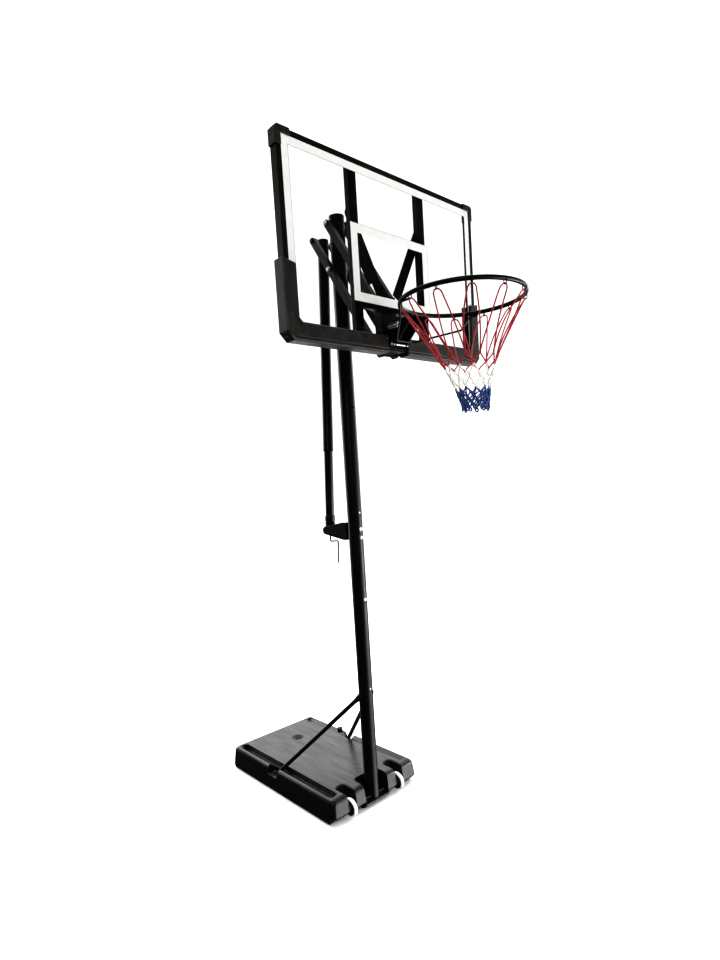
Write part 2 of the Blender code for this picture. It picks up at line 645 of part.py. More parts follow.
def pole_sections(finish):
    """Three tubes: each lower one's narrowed spigot goes into the next one up."""
    bore = POLE_RADIUS - POLE_WALL
    spigot = bore - TOUCH_GAP
    spigot_bore = spigot - POLE_WALL
    sections = []
    foot = FOOT_LEDGE_Z + TOUCH_GAP
    for name, low, high, has_spigot in (("pole_bottom", foot, LOWER_JOINT_Z, True),
                                        ("pole_middle", LOWER_JOINT_Z + TOUCH_GAP, UPPER_JOINT_Z, True),
                                        ("pole_top", UPPER_JOINT_Z + TOUCH_GAP, POLE_TOP_Z, False)):
        if has_spigot:
            profile = [(POLE_RADIUS, low), (POLE_RADIUS, high), (spigot, high), (spigot, high + SPIGOT_LENGTH),
                       (spigot_bore, high + SPIGOT_LENGTH), (spigot_bore, high - 0.004), (bore, high - 0.008),
                       (bore, low)]
        else:
            profile = [(POLE_RADIUS, low), (POLE_RADIUS, high), (bore, high), (bore, low)]
        sections.append(turned(name, (0, 0, 0), (0, 0, 1), profile, finish))
    bottom, middle, top = sections
    drill(bottom, (-0.1, AXLE_Y, AXLE_Z), (0.1, AXLE_Y, AXLE_Z), AXLE_RADIUS + BORE_GAP)
    drill(bottom, (-0.1, 0, BRACE_POLE_Z), (0.1, 0, BRACE_POLE_Z), PIVOT_BOLT_RADIUS + TOUCH_GAP)
    for joint_z, lower, upper in ((LOWER_JOINT_Z, bottom, middle), (UPPER_JOINT_Z, middle, top)):
        height = joint_z + JOINT_BOLT_RISE
        for section in (lower, upper):
            drill(section, (0, -0.1, height), (0, 0.1, height), JOINT_BOLT_RADIUS + TOUCH_GAP, 12)
    for height in bracket_bolt_heights():
        drill(middle, (0, -0.1, height), (0, 0.1, height), JOINT_BOLT_RADIUS + TOUCH_GAP, 12)
    for height in (UPPER_PIVOT_Z, LOWER_PIVOT_Z):
        drill(top, (-0.1, 0, height), (0.1, 0, height), PIVOT_BOLT_RADIUS + TOUCH_GAP)
    return sections


def bracket_bolt_heights():
    """Heights of the two bolts that hold the jack bracket on the pole."""
    middle = JACK_FOOT_Z - BRACKET_BOLT_DROP
    return [middle - BRACKET_BOLT_SPACING / 2, middle + BRACKET_BOLT_SPACING / 2]


def pole_cap(finish):
    """The plastic plug in the pole's open top, with a low domed flange."""
    plug = POLE_RADIUS - POLE_WALL - TOUCH_GAP
    return turned_solid("pole_cap", (0, 0, POLE_TOP_Z), (0, 0, 1), [
        (plug * 0.9, -0.016), (plug, -0.013), (plug, TOUCH_GAP), (POLE_RADIUS, TOUCH_GAP), (POLE_RADIUS, 0.003),
        (POLE_RADIUS * 0.86, 0.0055), (POLE_RADIUS * 0.4, 0.0065)], finish)


def pole_bolts(finish):
    """Bolts across the two pole joints, heads in front."""
    reach = POLE_RADIUS + TOUCH_GAP
    for label, joint_z in (("lower", LOWER_JOINT_Z), ("upper", UPPER_JOINT_Z)):
        height = joint_z + JOINT_BOLT_RISE
        bolt("pole_bolt_" + label, (0, -reach, height), (0, reach, height), JOINT_BOLT_RADIUS, finish)


def brace_line(side):
    """The run of a brace: its two bolted tabs, and where its round tube starts and ends."""
    tab = BRACE_TAB_THICKNESS / 2
    top = np.array([side * (POLE_RADIUS + TOUCH_GAP + tab), 0.0, BRACE_POLE_Z])
    foot = np.array([side * BRACE_FOOT_X, BRACE_FOOT_Y, BRACE_POCKET_Z + TOUCH_GAP + tab])
    level = np.array([foot[0] - top[0], foot[1], 0.0])
    level /= np.linalg.norm(level)
    fall = np.array([0.0, foot[1], foot[2] - top[2]])
    fall /= np.linalg.norm(fall)
    near_top = top + fall * BRACE_TAB_RUN
    near_foot = foot - level * BRACE_TAB_RUN
    outwards = np.array([side * BRACE_RADIUS * 0.9, 0.0, 0.0])
    lift = np.array([0.0, 0.0, BRACE_RADIUS * 1.2])
    return {"top": top, "foot": foot, "level": level, "fall": fall, "near_top": near_top,
            "near_foot": near_foot, "tube_start": near_top + fall * 0.030 + outwards,
            "tube_end": near_foot - level * 0.016 + lift}


def pole_brace(name, side, finish):
    """A tube brace from the pole down to the base, flattened into a bolted tab at each end."""
    line = brace_line(side)
    top, foot, level, fall = line["top"], line["foot"], line["level"], line["fall"]
    x_axis = np.array([1.0, 0.0, 0.0])
    z_axis = np.array([0.0, 0.0, 1.0])
    tube_run = (line["tube_end"] - line["tube_start"]) / np.linalg.norm(line["tube_end"] - line["tube_start"])
    across, up = side_vectors(tube_run)
    top_wide = np.cross(x_axis, fall)
    foot_wide = np.cross(z_axis, level)
    tab = BRACE_TAB_THICKNESS / 2
    width = BRACE_TAB_WIDTH / 2
    # Each station: centre, width direction, thickness direction, half width, half thickness
    stations = [(top - fall * width, top_wide, x_axis, width * 0.45, tab),
                (top - fall * width * 0.6, top_wide, x_axis, width * 0.88, tab),
                (top, top_wide, x_axis, width, tab),
                (line["near_top"], top_wide, x_axis, width * 0.96, tab),
                (line["tube_start"], across, up, BRACE_RADIUS, BRACE_RADIUS),
                (line["tube_end"], across, up, BRACE_RADIUS, BRACE_RADIUS),
                (line["near_foot"], foot_wide, z_axis, width * 0.96, tab),
                (foot, foot_wide, z_axis, width, tab),
                (foot + level * width * 0.6, foot_wide, z_axis, width * 0.88, tab),
                (foot + level * width, foot_wide, z_axis, width * 0.45, tab)]
    rings = [circle(centre, wide, thick, half_width, 12, half_thickness)
             for centre, wide, thick, half_width, half_thickness in stations]
    made = mesh_object(name, *skin(matched_rings(rings)), finish)
    drill(made, top - x_axis * 0.02, top + x_axis * 0.02, PIVOT_BOLT_RADIUS + TOUCH_GAP, 12)
    return drill(made, foot - z_axis * 0.02, foot + z_axis * 0.02, PIVOT_BOLT_RADIUS + TOUCH_GAP, 12)


def matched_rings(rings):
    """Turns or flips each ring's point order so that neighbours join without a twist."""
    matched = [rings[0]]
    count = len(rings[0])
    for ring in rings[1:]:
        options = []
        for flipped in (ring, ring[::-1]):
            for shift in range(count):
                turned_ring = np.roll(flipped, shift, axis=0)
                spread = float(np.linalg.norm(turned_ring - matched[-1], axis=1).sum())
                options.append((spread, len(options), turned_ring))
        matched.append(min(options, key=lambda option: option[:2])[2])
    return matched


def brace_bolts(finish):
    """The long bolt through both brace tabs and the pole, and the two screws into the base."""
    reach = POLE_RADIUS + BRACE_TAB_THICKNESS + TOUCH_GAP * 2
    bolt("brace_pole_bolt", (-reach, 0, BRACE_POLE_Z), (reach, 0, BRACE_POLE_Z), PIVOT_BOLT_RADIUS, finish)
    top = BRACE_POCKET_Z + BRACE_TAB_THICKNESS + TOUCH_GAP * 2
    for side, label in SIDES:
        bolt("brace_screw_" + label, (side * BRACE_FOOT_X, BRACE_FOOT_Y, top),
             (side * BRACE_FOOT_X, BRACE_FOOT_Y, BRACE_POCKET_Z - BRACE_SCREW_DEPTH), PIVOT_BOLT_RADIUS,
             finish, nut=False)


def jack_bracket(finish):
    """A folded plate: a web against the pole and two tapered cheeks back to the jack's trunnion."""
    web_front = POLE_RADIUS + TOUCH_GAP
    web_rear = web_front + BRACKET_PLATE
    inner = BRACKET_HALF_WIDTH
    outer = inner + BRACKET_PLATE
    pole_half = BRACKET_POLE_HEIGHT / 2
    nose_half = BRACKET_NOSE_HEIGHT / 2
    nose_y = JACK_FOOT_Y + 0.020
    web = box("jack_bracket", (-outer, web_front, JACK_FOOT_Z - pole_half),
              (outer, web_rear, JACK_FOOT_Z + pole_half), finish)
    cheeks = []
    outline = [(web_front, JACK_FOOT_Z - pole_half), (web_rear + 0.020, JACK_FOOT_Z - pole_half),
               (nose_y - 0.010, JACK_FOOT_Z - nose_half), (nose_y, JACK_FOOT_Z - nose_half + 0.010),
               (nose_y, JACK_FOOT_Z + nose_half - 0.010), (nose_y - 0.010, JACK_FOOT_Z + nose_half),
               (web_rear + 0.020, JACK_FOOT_Z + pole_half), (web_front, JACK_FOOT_Z + pole_half)]
    for side in (-1, 1):
        cheeks.append(prism("cheek", outline, "x", side * inner, side * outer, None))
    carve(web, cheeks, "UNION")
    cutters = [rod("trunnion_hole", (-0.1, JACK_FOOT_Y, JACK_FOOT_Z), (0.1, JACK_FOOT_Y, JACK_FOOT_Z),
                   PIVOT_BOLT_RADIUS + BORE_GAP, None)]
    for height in bracket_bolt_heights():
        cutters.append(rod("bolt_hole", (0, 0, height), (0, 0.1, height), JOINT_BOLT_RADIUS + TOUCH_GAP,
                           None, 12))
    return carve(web, cutters)


def bracket_bolts(finish):
    """The bracket's two bolts through the pole, heads in front."""
    for label, height in zip(("lower", "upper"), bracket_bolt_heights()):
        bolt("bracket_bolt_" + label, (0, -POLE_RADIUS - TOUCH_GAP, height),
             (0, POLE_RADIUS + BRACKET_PLATE + TOUCH_GAP * 2, height), JOINT_BOLT_RADIUS, finish)


def jack_point(distance):
    """A point on the jack's axis, a distance up from its foot pivot."""
    return JACK_FOOT + (JACK_HEAD - JACK_FOOT) / JACK_SPAN * distance


def jack_direction():
    """The jack axis as a unit vector."""
    return (JACK_HEAD - JACK_FOOT) / JACK_SPAN


def jack_foot_tube(finish):
    """The lower tube on its grooved collar, with a trunnion stub each side in the bracket's cheeks."""
    bore = JACK_SCREW_RADIUS + BORE_GAP
    tube_bore = JACK_LOWER_RADIUS - JACK_WALL
    low, high = -JACK_COLLAR_BELOW, JACK_COLLAR_HEIGHT - JACK_COLLAR_BELOW
    middle = (low + high) / 2
    foot = turned("jack_foot_tube", jack_point(0), jack_direction(), [
        (bore, low), (JACK_COLLAR_RADIUS - 0.003, low), (JACK_COLLAR_RADIUS, low + 0.004),
        (JACK_COLLAR_RADIUS, middle - 0.003), (JACK_COLLAR_RADIUS - 0.0025, middle),
        (JACK_COLLAR_RADIUS, middle + 0.003), (JACK_COLLAR_RADIUS, high), (JACK_LOWER_RADIUS, high + 0.001),
        (JACK_LOWER_RADIUS, jack_tube_top()), (tube_bore, jack_tube_top()), (tube_bore, high),
        (bore, high)], finish)
    stubs = []
    reach = BRACKET_HALF_WIDTH + BRACKET_PLATE + 0.004
    for side in (-1, 1):
        stubs.append(turned_solid("stub", JACK_FOOT, (side, 0, 0), [
            (PIVOT_BOLT_RADIUS, bore + 0.008), (PIVOT_BOLT_RADIUS, reach),
            (PIVOT_BOLT_RADIUS - 0.001, reach + 0.001)], None, 20))
    return carve(foot, stubs, "UNION")


def jack_sleeve_top():
    """Distance from the foot pivot to the upper tube's closed top."""
    return JACK_SPAN + JACK_HEAD_ABOVE


def jack_tube_top():
    """Distance from the foot pivot to the lower tube's open top, inside the upper tube."""
    return jack_sleeve_top() - JACK_UPPER_LENGTH + JACK_OVERLAP


def jack_upper_tube(finish):
    """The upper tube that slides over the lower one, closed by a solid head with the pin's hole."""
    top = jack_sleeve_top()
    bore = JACK_LOWER_RADIUS + SLIDE_GAP
    head = top - JACK_HEAD_LENGTH
    outline = [(JACK_UPPER_RADIUS, top - JACK_UPPER_LENGTH), (JACK_UPPER_RADIUS, top - 0.003),
               (JACK_UPPER_RADIUS - 0.003, top)]
    tube = turned_solid("jack_upper_tube", jack_point(0), jack_direction(), outline, finish)
    hollow = turned_solid("hollow", jack_point(0), jack_direction(),
                          [(bore, top - JACK_UPPER_LENGTH - 0.01), (bore, head)], None)
    pin_hole = rod("pin_hole", JACK_HEAD - [0.1, 0, 0], JACK_HEAD + [0.1, 0, 0],
                   PIVOT_BOLT_RADIUS + TOUCH_GAP, None)
    return carve(tube, [hollow, pin_hole])


def jack_head_pin(finish):
    """The cross pin in the jack's head, as long as the space between the arms."""
    reach = ARM_INNER_X - SLIDE_GAP
    return rod("jack_head_pin", JACK_HEAD - [reach, 0, 0], JACK_HEAD + [reach, 0, 0], PIVOT_BOLT_RADIUS, finish)


def jack_push_tube(finish):
    """The inner tube under the head, its lower end thickened into the nut on the screw."""
    top = jack_sleeve_top() - JACK_HEAD_LENGTH - TOUCH_GAP
    bottom = top - JACK_PUSH_LENGTH
    bore = JACK_SCREW_RADIUS + BORE_GAP
    nut_radius = JACK_LOWER_RADIUS - JACK_WALL - SLIDE_GAP
    nut_top = bottom + JACK_NUT_HEIGHT
    return turned("jack_push_tube", jack_point(0), jack_direction(), [
        (bore, bottom), (nut_radius, bottom), (nut_radius, nut_top), (JACK_PUSH_RADIUS, nut_top + 0.004),
        (JACK_PUSH_RADIUS, top), (JACK_PUSH_RADIUS - JACK_WALL, top), (JACK_PUSH_RADIUS - JACK_WALL, nut_top),
        (bore, nut_top)], finish, 24)


def jack_screw(finish):
    """The screw in the jack, and at its foot the bent crank rod: down, out sideways, then down as grip."""
    along = jack_direction()
    sideways = np.array([1.0, 0.0, 0.0])
    low = -JACK_COLLAR_BELOW - 0.006
    screw = turned_solid("jack_screw_and_crank", jack_point(0), along, [
        (JACK_SCREW_RADIUS, low), (JACK_SCREW_RADIUS, low + JACK_SCREW_LENGTH),
        (JACK_SCREW_RADIUS - 0.002, low + JACK_SCREW_LENGTH + 0.002)], finish, 16)
    start = jack_point(low + 0.003)
    elbow = start - along * CRANK_DROP
    corners = [start, elbow, elbow + sideways * CRANK_THROW,
               elbow + sideways * CRANK_THROW - along * CRANK_HANDLE_LENGTH]
    crank = swept_tube("crank", rounded_path(corners, CRANK_BEND_RADIUS), CRANK_ROD_RADIUS, None, 10)
    return carve(screw, [crank], "UNION")


def screw_jack(black, steel):
    """The jack's pieces in three moving groups: the footed tube, the lifted tube and the screw."""
    foot_axis = axis_empty("jack_foot_axis", JACK_FOOT, tilt=JACK_TILT)
    slide_axis = axis_empty("jack_slide_axis", JACK_FOOT, parent=foot_axis, tilt=JACK_TILT)
    crank_axis = axis_empty("crank_axis", JACK_FOOT, parent=foot_axis, tilt=JACK_TILT)
    carry([jack_foot_tube(black)], foot_axis)
    carry([jack_upper_tube(black), jack_head_pin(steel), jack_push_tube(steel)], slide_axis)
    carry([jack_screw(steel)], crank_axis)


def arm_bar(name, side, pole_z, rear_length, finish):
    """A straight tube arm with rounded open ends; rear_length is how far it runs behind the pole."""
    pivot = np.array([0.0, 0.0, pole_z])
    front = pivot + ARM_DIRECTION * ARM_LENGTH
    rear = pivot - ARM_DIRECTION * rear_length
    square = np.array([0.0, -ARM_DIRECTION[2], ARM_DIRECTION[1]])
    outline = []
    half = ARM_HEIGHT / 2
    for centre, facing in ((front, ARM_DIRECTION), (rear, -ARM_DIRECTION)):
        start = -square if facing is ARM_DIRECTION else square
        for step in range(9):
            turn = step / 8 * math.pi
            outline.append(centre + half * (math.cos(turn) * start + math.sin(turn) * facing))
    made = prism(name, [(point[1], point[2]) for point in outline], "x", side * ARM_INNER_X,
                 side * ARM_OUTER_X, finish)
    core_half = half - TUBE_WALL
    ends = [rear - ARM_DIRECTION * (half + 0.01), front + ARM_DIRECTION * (half + 0.01)]
    core = [ends[0] + square * core_half, ends[0] - square * core_half, ends[1] - square * core_half,
            ends[1] + square * core_half]
    carve(made, [prism("core", [(point[1], point[2]) for point in core], "x", side * (ARM_INNER_X + TUBE_WALL),
                       side * (ARM_OUTER_X - TUBE_WALL), None)])
    boss = turned_solid("boss", pivot, (side, 0, 0), [(ARM_BOSS_RADIUS, POLE_RADIUS + 0.002),
                                                     (ARM_BOSS_RADIUS, ARM_INNER_X + 0.001)], None)
    carve(made, [boss], "UNION")
    cutters = []
    for hole in (pivot, front):
        cutters.append(rod("hole", hole, hole + side * np.array([ARM_OUTER_X + 0.05, 0, 0]),
                           PIVOT_BOLT_RADIUS + BORE_GAP, None))
    carve(made, cutters)
    if rear_length > 0:
        # The lever's end holds a stud whose flat inner end faces the jack's head pin
        seat = side * np.array([ARM_OUTER_X - 0.001, 0, 0])
        tail = side * np.array([ARM_INNER_X + 0.0008, 0, 0])
        carve(made, [bolt("stud", rear + seat, rear + tail, PIVOT_BOLT_RADIUS, None, nut=False)], "UNION")
    return made


def lift_arms(black):
    """Both pairs of parallel arms, each with its origin on its own pole pivot."""
    upper_axis = axis_empty("upper_arm_axis", (0, 0, UPPER_PIVOT_Z))
    lower_axis = axis_empty("lower_arm_axis", (0, 0, LOWER_PIVOT_Z))
    for side, label in SIDES:
        carry([arm_bar("upper_arm_" + label, side, UPPER_PIVOT_Z, 0.0, black)], upper_axis)
        carry([arm_bar("lower_arm_" + label, side, LOWER_PIVOT_Z, JACK_LEVER, black)], lower_axis)
    return upper_axis


def pole_pivots(finish):
    """The two long bolts across the pole that the arms turn on."""
    reach = ARM_OUTER_X + SLIDE_GAP
    for label, height in (("lower", LOWER_PIVOT_Z), ("upper", UPPER_PIVOT_Z)):
        bolt("pole_pivot_bolt_" + label, (-reach, 0, height), (reach, 0, height), PIVOT_BOLT_RADIUS, finish)


def mitred_bar(name, start, end, inward, profile, overrun, finish):
    """A bar along a board edge: profile is a run of (depth inwards, y) and both ends are mitred."""
    start, end, inward = (np.array(value, float) for value in (start, end, inward))
    along = (end - start) / np.linalg.norm(end - start)
    rings = []
    for corner, way in ((start, along), (end, -along)):
        ring = []
        for depth, y in profile:
            point = corner + inward * depth + way * (depth - overrun)
            ring.append((point[0], y, point[1]))
        rings.append(np.array(ring))
    return mesh_object(name, *skin(rings), finish)


def frame_rail(name, start, end, inward, finish):
    """A mitred rail of lipped tube, open at its mitres: start and end are outer corners in (x, z)."""
    lip_y = PANEL_REAR_Y + TOUCH_GAP
    outer = [(TOUCH_GAP, BOARD_FRONT_Y), (FRAME_FACE, BOARD_FRONT_Y), (FRAME_FACE, lip_y),
             (FRAME_FACE + FRAME_LIP, lip_y), (FRAME_FACE + FRAME_LIP, lip_y + FRAME_LIP_THICKNESS),
             (FRAME_FACE, lip_y + FRAME_LIP_THICKNESS), (FRAME_FACE, FRAME_REAR_Y), (TOUCH_GAP, FRAME_REAR_Y)]
    near, far = TOUCH_GAP + TUBE_WALL, FRAME_FACE - TUBE_WALL
    inner = [(near, BOARD_FRONT_Y + TUBE_WALL), (far, BOARD_FRONT_Y + TUBE_WALL),
             (far, FRAME_REAR_Y - TUBE_WALL), (near, FRAME_REAR_Y - TUBE_WALL)]
    rail = mitred_bar(name, start, end, inward, outer, -TOUCH_GAP / 2, finish)
    return carve(rail, [mitred_bar("core", start, end, inward, inner, 0.01, None)])


def square_tube(name, low, high, open_axis, finish):
    """A rectangular tube between two corners, open at both ends along one axis."""
    wall = np.full(3, TUBE_WALL)
    wall[open_axis] = -0.01
    core = box("core", np.array(low) + wall, np.array(high) - wall, None)
    return carve(box(name, low, high, finish), [core])


def board_frame(finishes):
    """The four rails, the clear panel, the two posts and the crossbar."""
    black = finishes["black_steel"]
    half = BOARD_WIDTH / 2
    low, high = BOARD_BOTTOM_Z, BOARD_TOP_Z
    pieces = [frame_rail("board_rail_top", (-half, high), (half, high), (0, -1), black),
              frame_rail("board_rail_bottom", (-half, low), (half, low), (0, 1), black),
              frame_rail("board_rail_near", (-half, low), (-half, high), (1, 0), black),
              frame_rail("board_rail_far", (half, low), (half, high), (-1, 0), black)]
    edge = FRAME_FACE + TOUCH_GAP
    panel = box("board_panel", (-half + edge, PANEL_FRONT_Y, low + edge),
                (half - edge, PANEL_REAR_Y, high - edge), finishes["clear_panel"])
    pieces.append(carve(panel, [spring_bolt_hole(side) for side, _ in SIDES]))
    inner_low, inner_high = low + FRAME_FACE + TOUCH_GAP, high - FRAME_FACE - TOUCH_GAP
    for side, label in SIDES:
        middle = side * POST_OFFSET_X
        pieces.append(square_tube("board_post_" + label, (middle - POST_WIDTH / 2, POST_FRONT_Y, inner_low),
                                  (middle + POST_WIDTH / 2, POST_REAR_Y, inner_high), 2, black))
    reach = POST_OFFSET_X - POST_WIDTH / 2 - TOUCH_GAP
    pieces.append(square_tube("board_crossbar", (-reach, POST_FRONT_Y, CROSSBAR_Z - CROSSBAR_HEIGHT / 2),
                              (reach, POST_REAR_Y, CROSSBAR_Z + CROSSBAR_HEIGHT / 2), 0, black))
    return pieces


def bracket_leg(name, side, finish):
    """One leg of the V behind the panel: a flat strip with a rib, its round head screwed to a post."""
    foot = np.array([side * LEG_FOOT_X, LEG_FOOT_Z])
    head = np.array([side * POST_OFFSET_X, LEG_HEAD_Z])
    along = (head - foot) / np.linalg.norm(head - foot)
    square = np.array([-along[1], along[0]]) * side
    half = LEG_WIDTH / 2
    outline = [foot + square * half, foot - square * half]
    for step in range(9):
        turn = step / 8 * math.pi
        outline.append(head - half * math.cos(turn) * square + half * math.sin(turn) * along)
    front = POST_REAR_Y + TOUCH_GAP
    leg = prism(name, [tuple(point) for point in outline], "y", front, LEG_REAR_Y, finish)
    rib_foot = foot + along * 0.055
    rib_head = head - along * 0.020
    rib = [rib_foot - square * half, rib_head - square * half,
           rib_head - square * (half - LEG_PLATE), rib_foot - square * (half - LEG_PLATE)]
    carve(leg, [prism("rib", [tuple(point) for point in rib], "y", front + 0.001,
                      LEG_REAR_Y + LEG_RIB_DEPTH, None)], "UNION")
    screw = bolt("screw", (head[0], LEG_REAR_Y - 0.001, head[1]), (head[0], front + 0.001, head[1]),
                 JOINT_BOLT_RADIUS, None, nut=False)
    return carve(leg, [screw], "UNION")


def arm_channel(finish):
    """The folded channel behind the board: the arms' front pivots go through its two cheeks."""
    low = UPPER_PIVOT_Z - ARM_DROP_Z - PIVOT_SPACING - CHANNEL_MARGIN
    high = UPPER_PIVOT_Z - ARM_DROP_Z + CHANNEL_MARGIN
    inner = CHANNEL_HALF_WIDTH - CHANNEL_PLATE
    web_rear = CHANNEL_FRONT_Y + CHANNEL_PLATE
    channel = box("arm_channel", (-CHANNEL_HALF_WIDTH, CHANNEL_FRONT_Y, low),
                  (CHANNEL_HALF_WIDTH, web_rear, high), finish)
    rear = CHANNEL_FRONT_Y + CHANNEL_DEPTH
    outline = [(CHANNEL_FRONT_Y, low), (rear - 0.012, low), (rear, low + 0.012), (rear, high - 0.012),
               (rear - 0.012, high), (CHANNEL_FRONT_Y, high)]
    cheeks = [prism("cheek", outline, "x", side * inner, side * CHANNEL_HALF_WIDTH, None) for side in (-1, 1)]
    carve(channel, cheeks, "UNION")
    cutters = []
    for height in board_pivot_heights():
        cutters.append(rod("hole", (-0.1, BOARD_PIVOT_Y, height), (0.1, BOARD_PIVOT_Y, height),
                           PIVOT_BOLT_RADIUS + TOUCH_GAP, None))
    return carve(channel, cutters)


def board_pivot_heights():
    """Heights of the upper and lower board pivots as photographed."""
    return [UPPER_PIVOT_Z - ARM_DROP_Z, LOWER_PIVOT_Z - ARM_DROP_Z]


def board_pivots(finish):
    """The two bolts through the channel's cheeks and the arms' front ends."""
    reach = ARM_OUTER_X + SLIDE_GAP
    return [bolt("board_pivot_bolt_" + label, (-reach, BOARD_PIVOT_Y, height), (reach, BOARD_PIVOT_Y, height),
                 PIVOT_BOLT_RADIUS, finish)
            for label, height in zip(("upper", "lower"), board_pivot_heights())]


def corner_cap(name, side, finish):
    """The thin plastic guard round one top corner of the frame, open at the panel."""
    half = BOARD_WIDTH / 2
    outer_x, outer_z = half + CAP_THICKNESS, BOARD_TOP_Z + CAP_THICKNESS
    band = FRAME_FACE
    outline = [(outer_x - 0.010, outer_z), (outer_x, outer_z - 0.010), (outer_x, BOARD_TOP_Z - CAP_REACH),
               (half - band, BOARD_TOP_Z - CAP_REACH), (half - band, BOARD_TOP_Z - band),
               (half - CAP_REACH, BOARD_TOP_Z - band), (half - CAP_REACH, outer_z)]
    outline = [(side * x, z) for x, z in outline]
    cap = prism(name, outline, "y", BOARD_FRONT_Y - CAP_THICKNESS, FRAME_REAR_Y + CAP_THICKNESS, finish)
    cutter = box("frame", (min(0, side * half), BOARD_FRONT_Y - TOUCH_GAP, BOARD_BOTTOM_Z),
                 (max(0, side * half), FRAME_REAR_Y + TOUCH_GAP, BOARD_TOP_Z), None)
    return carve(cap, [cutter])


def corner_pad(name, side, finish):
    """The moulded pad that wraps one lower corner: along the bottom rail and up the side rail."""
    half = BOARD_WIDTH / 2
    outer_x, low = half + PAD_SIDE_THICKNESS, BOARD_BOTTOM_Z - PAD_SIDE_THICKNESS
    inner_x, inner_z = half - PAD_BAND + 0.010, BOARD_BOTTOM_Z + PAD_BAND
    outline = [(PAD_INNER_X, low + 0.006), (PAD_INNER_X + 0.006, low), (outer_x - PAD_CHAMFER, low),
               (outer_x, low + PAD_CHAMFER), (outer_x, PAD_ARM_TOP_Z), (inner_x, PAD_ARM_TOP_Z - PAD_ARM_SLANT),
               (inner_x, inner_z + 0.014), (inner_x - 0.014, inner_z), (PAD_INNER_X + 0.020, inner_z),
               (PAD_INNER_X, inner_z - 0.016)]
    outline = [(side * x, z) for x, z in outline]
    front = PANEL_FRONT_Y - TOUCH_GAP - PAD_FRONT_THICKNESS
    pad = prism(name, outline, "y", front, FRAME_REAR_Y + PAD_REAR_THICKNESS, finish)
    bevel_front_edges(pad, front, 0.005)
    frame = box("frame", (min(0, side * half), BOARD_FRONT_Y - TOUCH_GAP, BOARD_BOTTOM_Z),
                (max(0, side * half), FRAME_REAR_Y + TOUCH_GAP, BOARD_TOP_Z), None)
    groove_z = BOARD_BOTTOM_Z + 0.004
    groove_ends = sorted((side * PAD_INNER_X * 0.5, side * (half - PAD_CHAMFER)))
    groove = box("groove", (groove_ends[0], front - 0.01, groove_z),
                 (groove_ends[1], front + 0.0015, groove_z + 0.002), None)
    return carve(pad, [frame, groove])


def bevel_front_edges(obj, front, width):
    """Chamfers the edges that lie in the front plane of an outline drawn out along Y."""
    body = bmesh.new()
    body.from_mesh(obj.data)
    edges = [edge for edge in body.edges if all(abs(vertex.co.y - front) < 1e-6 for vertex in edge.verts)]
    bmesh.ops.bevel(body, geom=edges, offset=width, segments=1, affect="EDGES")
    body.to_mesh(obj.data)
    body.free()


def rim_mount(finish):
    """The fixed plate on the panel, narrow at its foot, with ears that hold the hinge pin."""
    rear = MOUNT_REAR_Y
    outline = [(-MOUNT_FOOT_HALF_WIDTH, MOUNT_BOTTOM_Z), (MOUNT_FOOT_HALF_WIDTH, MOUNT_BOTTOM_Z),
               (MOUNT_FOOT_HALF_WIDTH, MOUNT_SHOULDER_Z), (MOUNT_HALF_WIDTH, MOUNT_SHOULDER_Z + 0.008),
               (MOUNT_HALF_WIDTH, MOUNT_TOP_Z - 0.008), (MOUNT_HALF_WIDTH - 0.008, MOUNT_TOP_Z),
               (-MOUNT_HALF_WIDTH + 0.008, MOUNT_TOP_Z), (-MOUNT_HALF_WIDTH, MOUNT_TOP_Z - 0.008),
               (-MOUNT_HALF_WIDTH, MOUNT_SHOULDER_Z + 0.008), (-MOUNT_FOOT_HALF_WIDTH, MOUNT_SHOULDER_Z)]
    plate = prism("rim_mount_plate", outline, "y", rear, MOUNT_FRONT_Y, finish)
    ears = []
    for side in (-1, 1):
        ear = [(rear, HINGE_Z - 0.010), (rear, HINGE_Z + 0.014), (MOUNT_FRONT_Y, HINGE_Z + 0.014),
               (HINGE_Y - 0.005, HINGE_Z + 0.009), (HINGE_Y - 0.009, HINGE_Z + 0.003),
               (HINGE_Y - 0.009, HINGE_Z - 0.003), (HINGE_Y - 0.005, HINGE_Z - 0.009)]
        start = side * (HINGE_EAR_X + MOUNT_PLATE)
        ears.append(prism("ear", ear, "x", side * HINGE_EAR_X, start, None))
    carve(plate, ears, "UNION")
    cutters = [rod("pin_hole", (-0.1, HINGE_Y, HINGE_Z), (0.1, HINGE_Y, HINGE_Z), HINGE_RADIUS + TOUCH_GAP,
                   None),
               box("window", (-0.014, MOUNT_FRONT_Y - 0.01, HINGE_Z + 0.018),
                   (0.014, rear + 0.01, HINGE_Z + 0.032), None)]
    for side in (-1, 1):
        cutters.append(spring_bolt_hole(side))
    return carve(plate, cutters)


def hinge_pin(finish):
    """The breakaway hinge pin through the mount's ears, with a flat head at each end."""
    reach = HINGE_EAR_X + MOUNT_PLATE + TOUCH_GAP
    ends = HINGE_RADIUS * 1.6
    return turned_solid("rim_hinge_pin", (0, HINGE_Y, HINGE_Z), (1, 0, 0), [
        (ends, -reach - 0.003), (ends, -reach), (HINGE_RADIUS, -reach), (HINGE_RADIUS, reach), (ends, reach),
        (ends, reach + 0.003)], finish, 16)


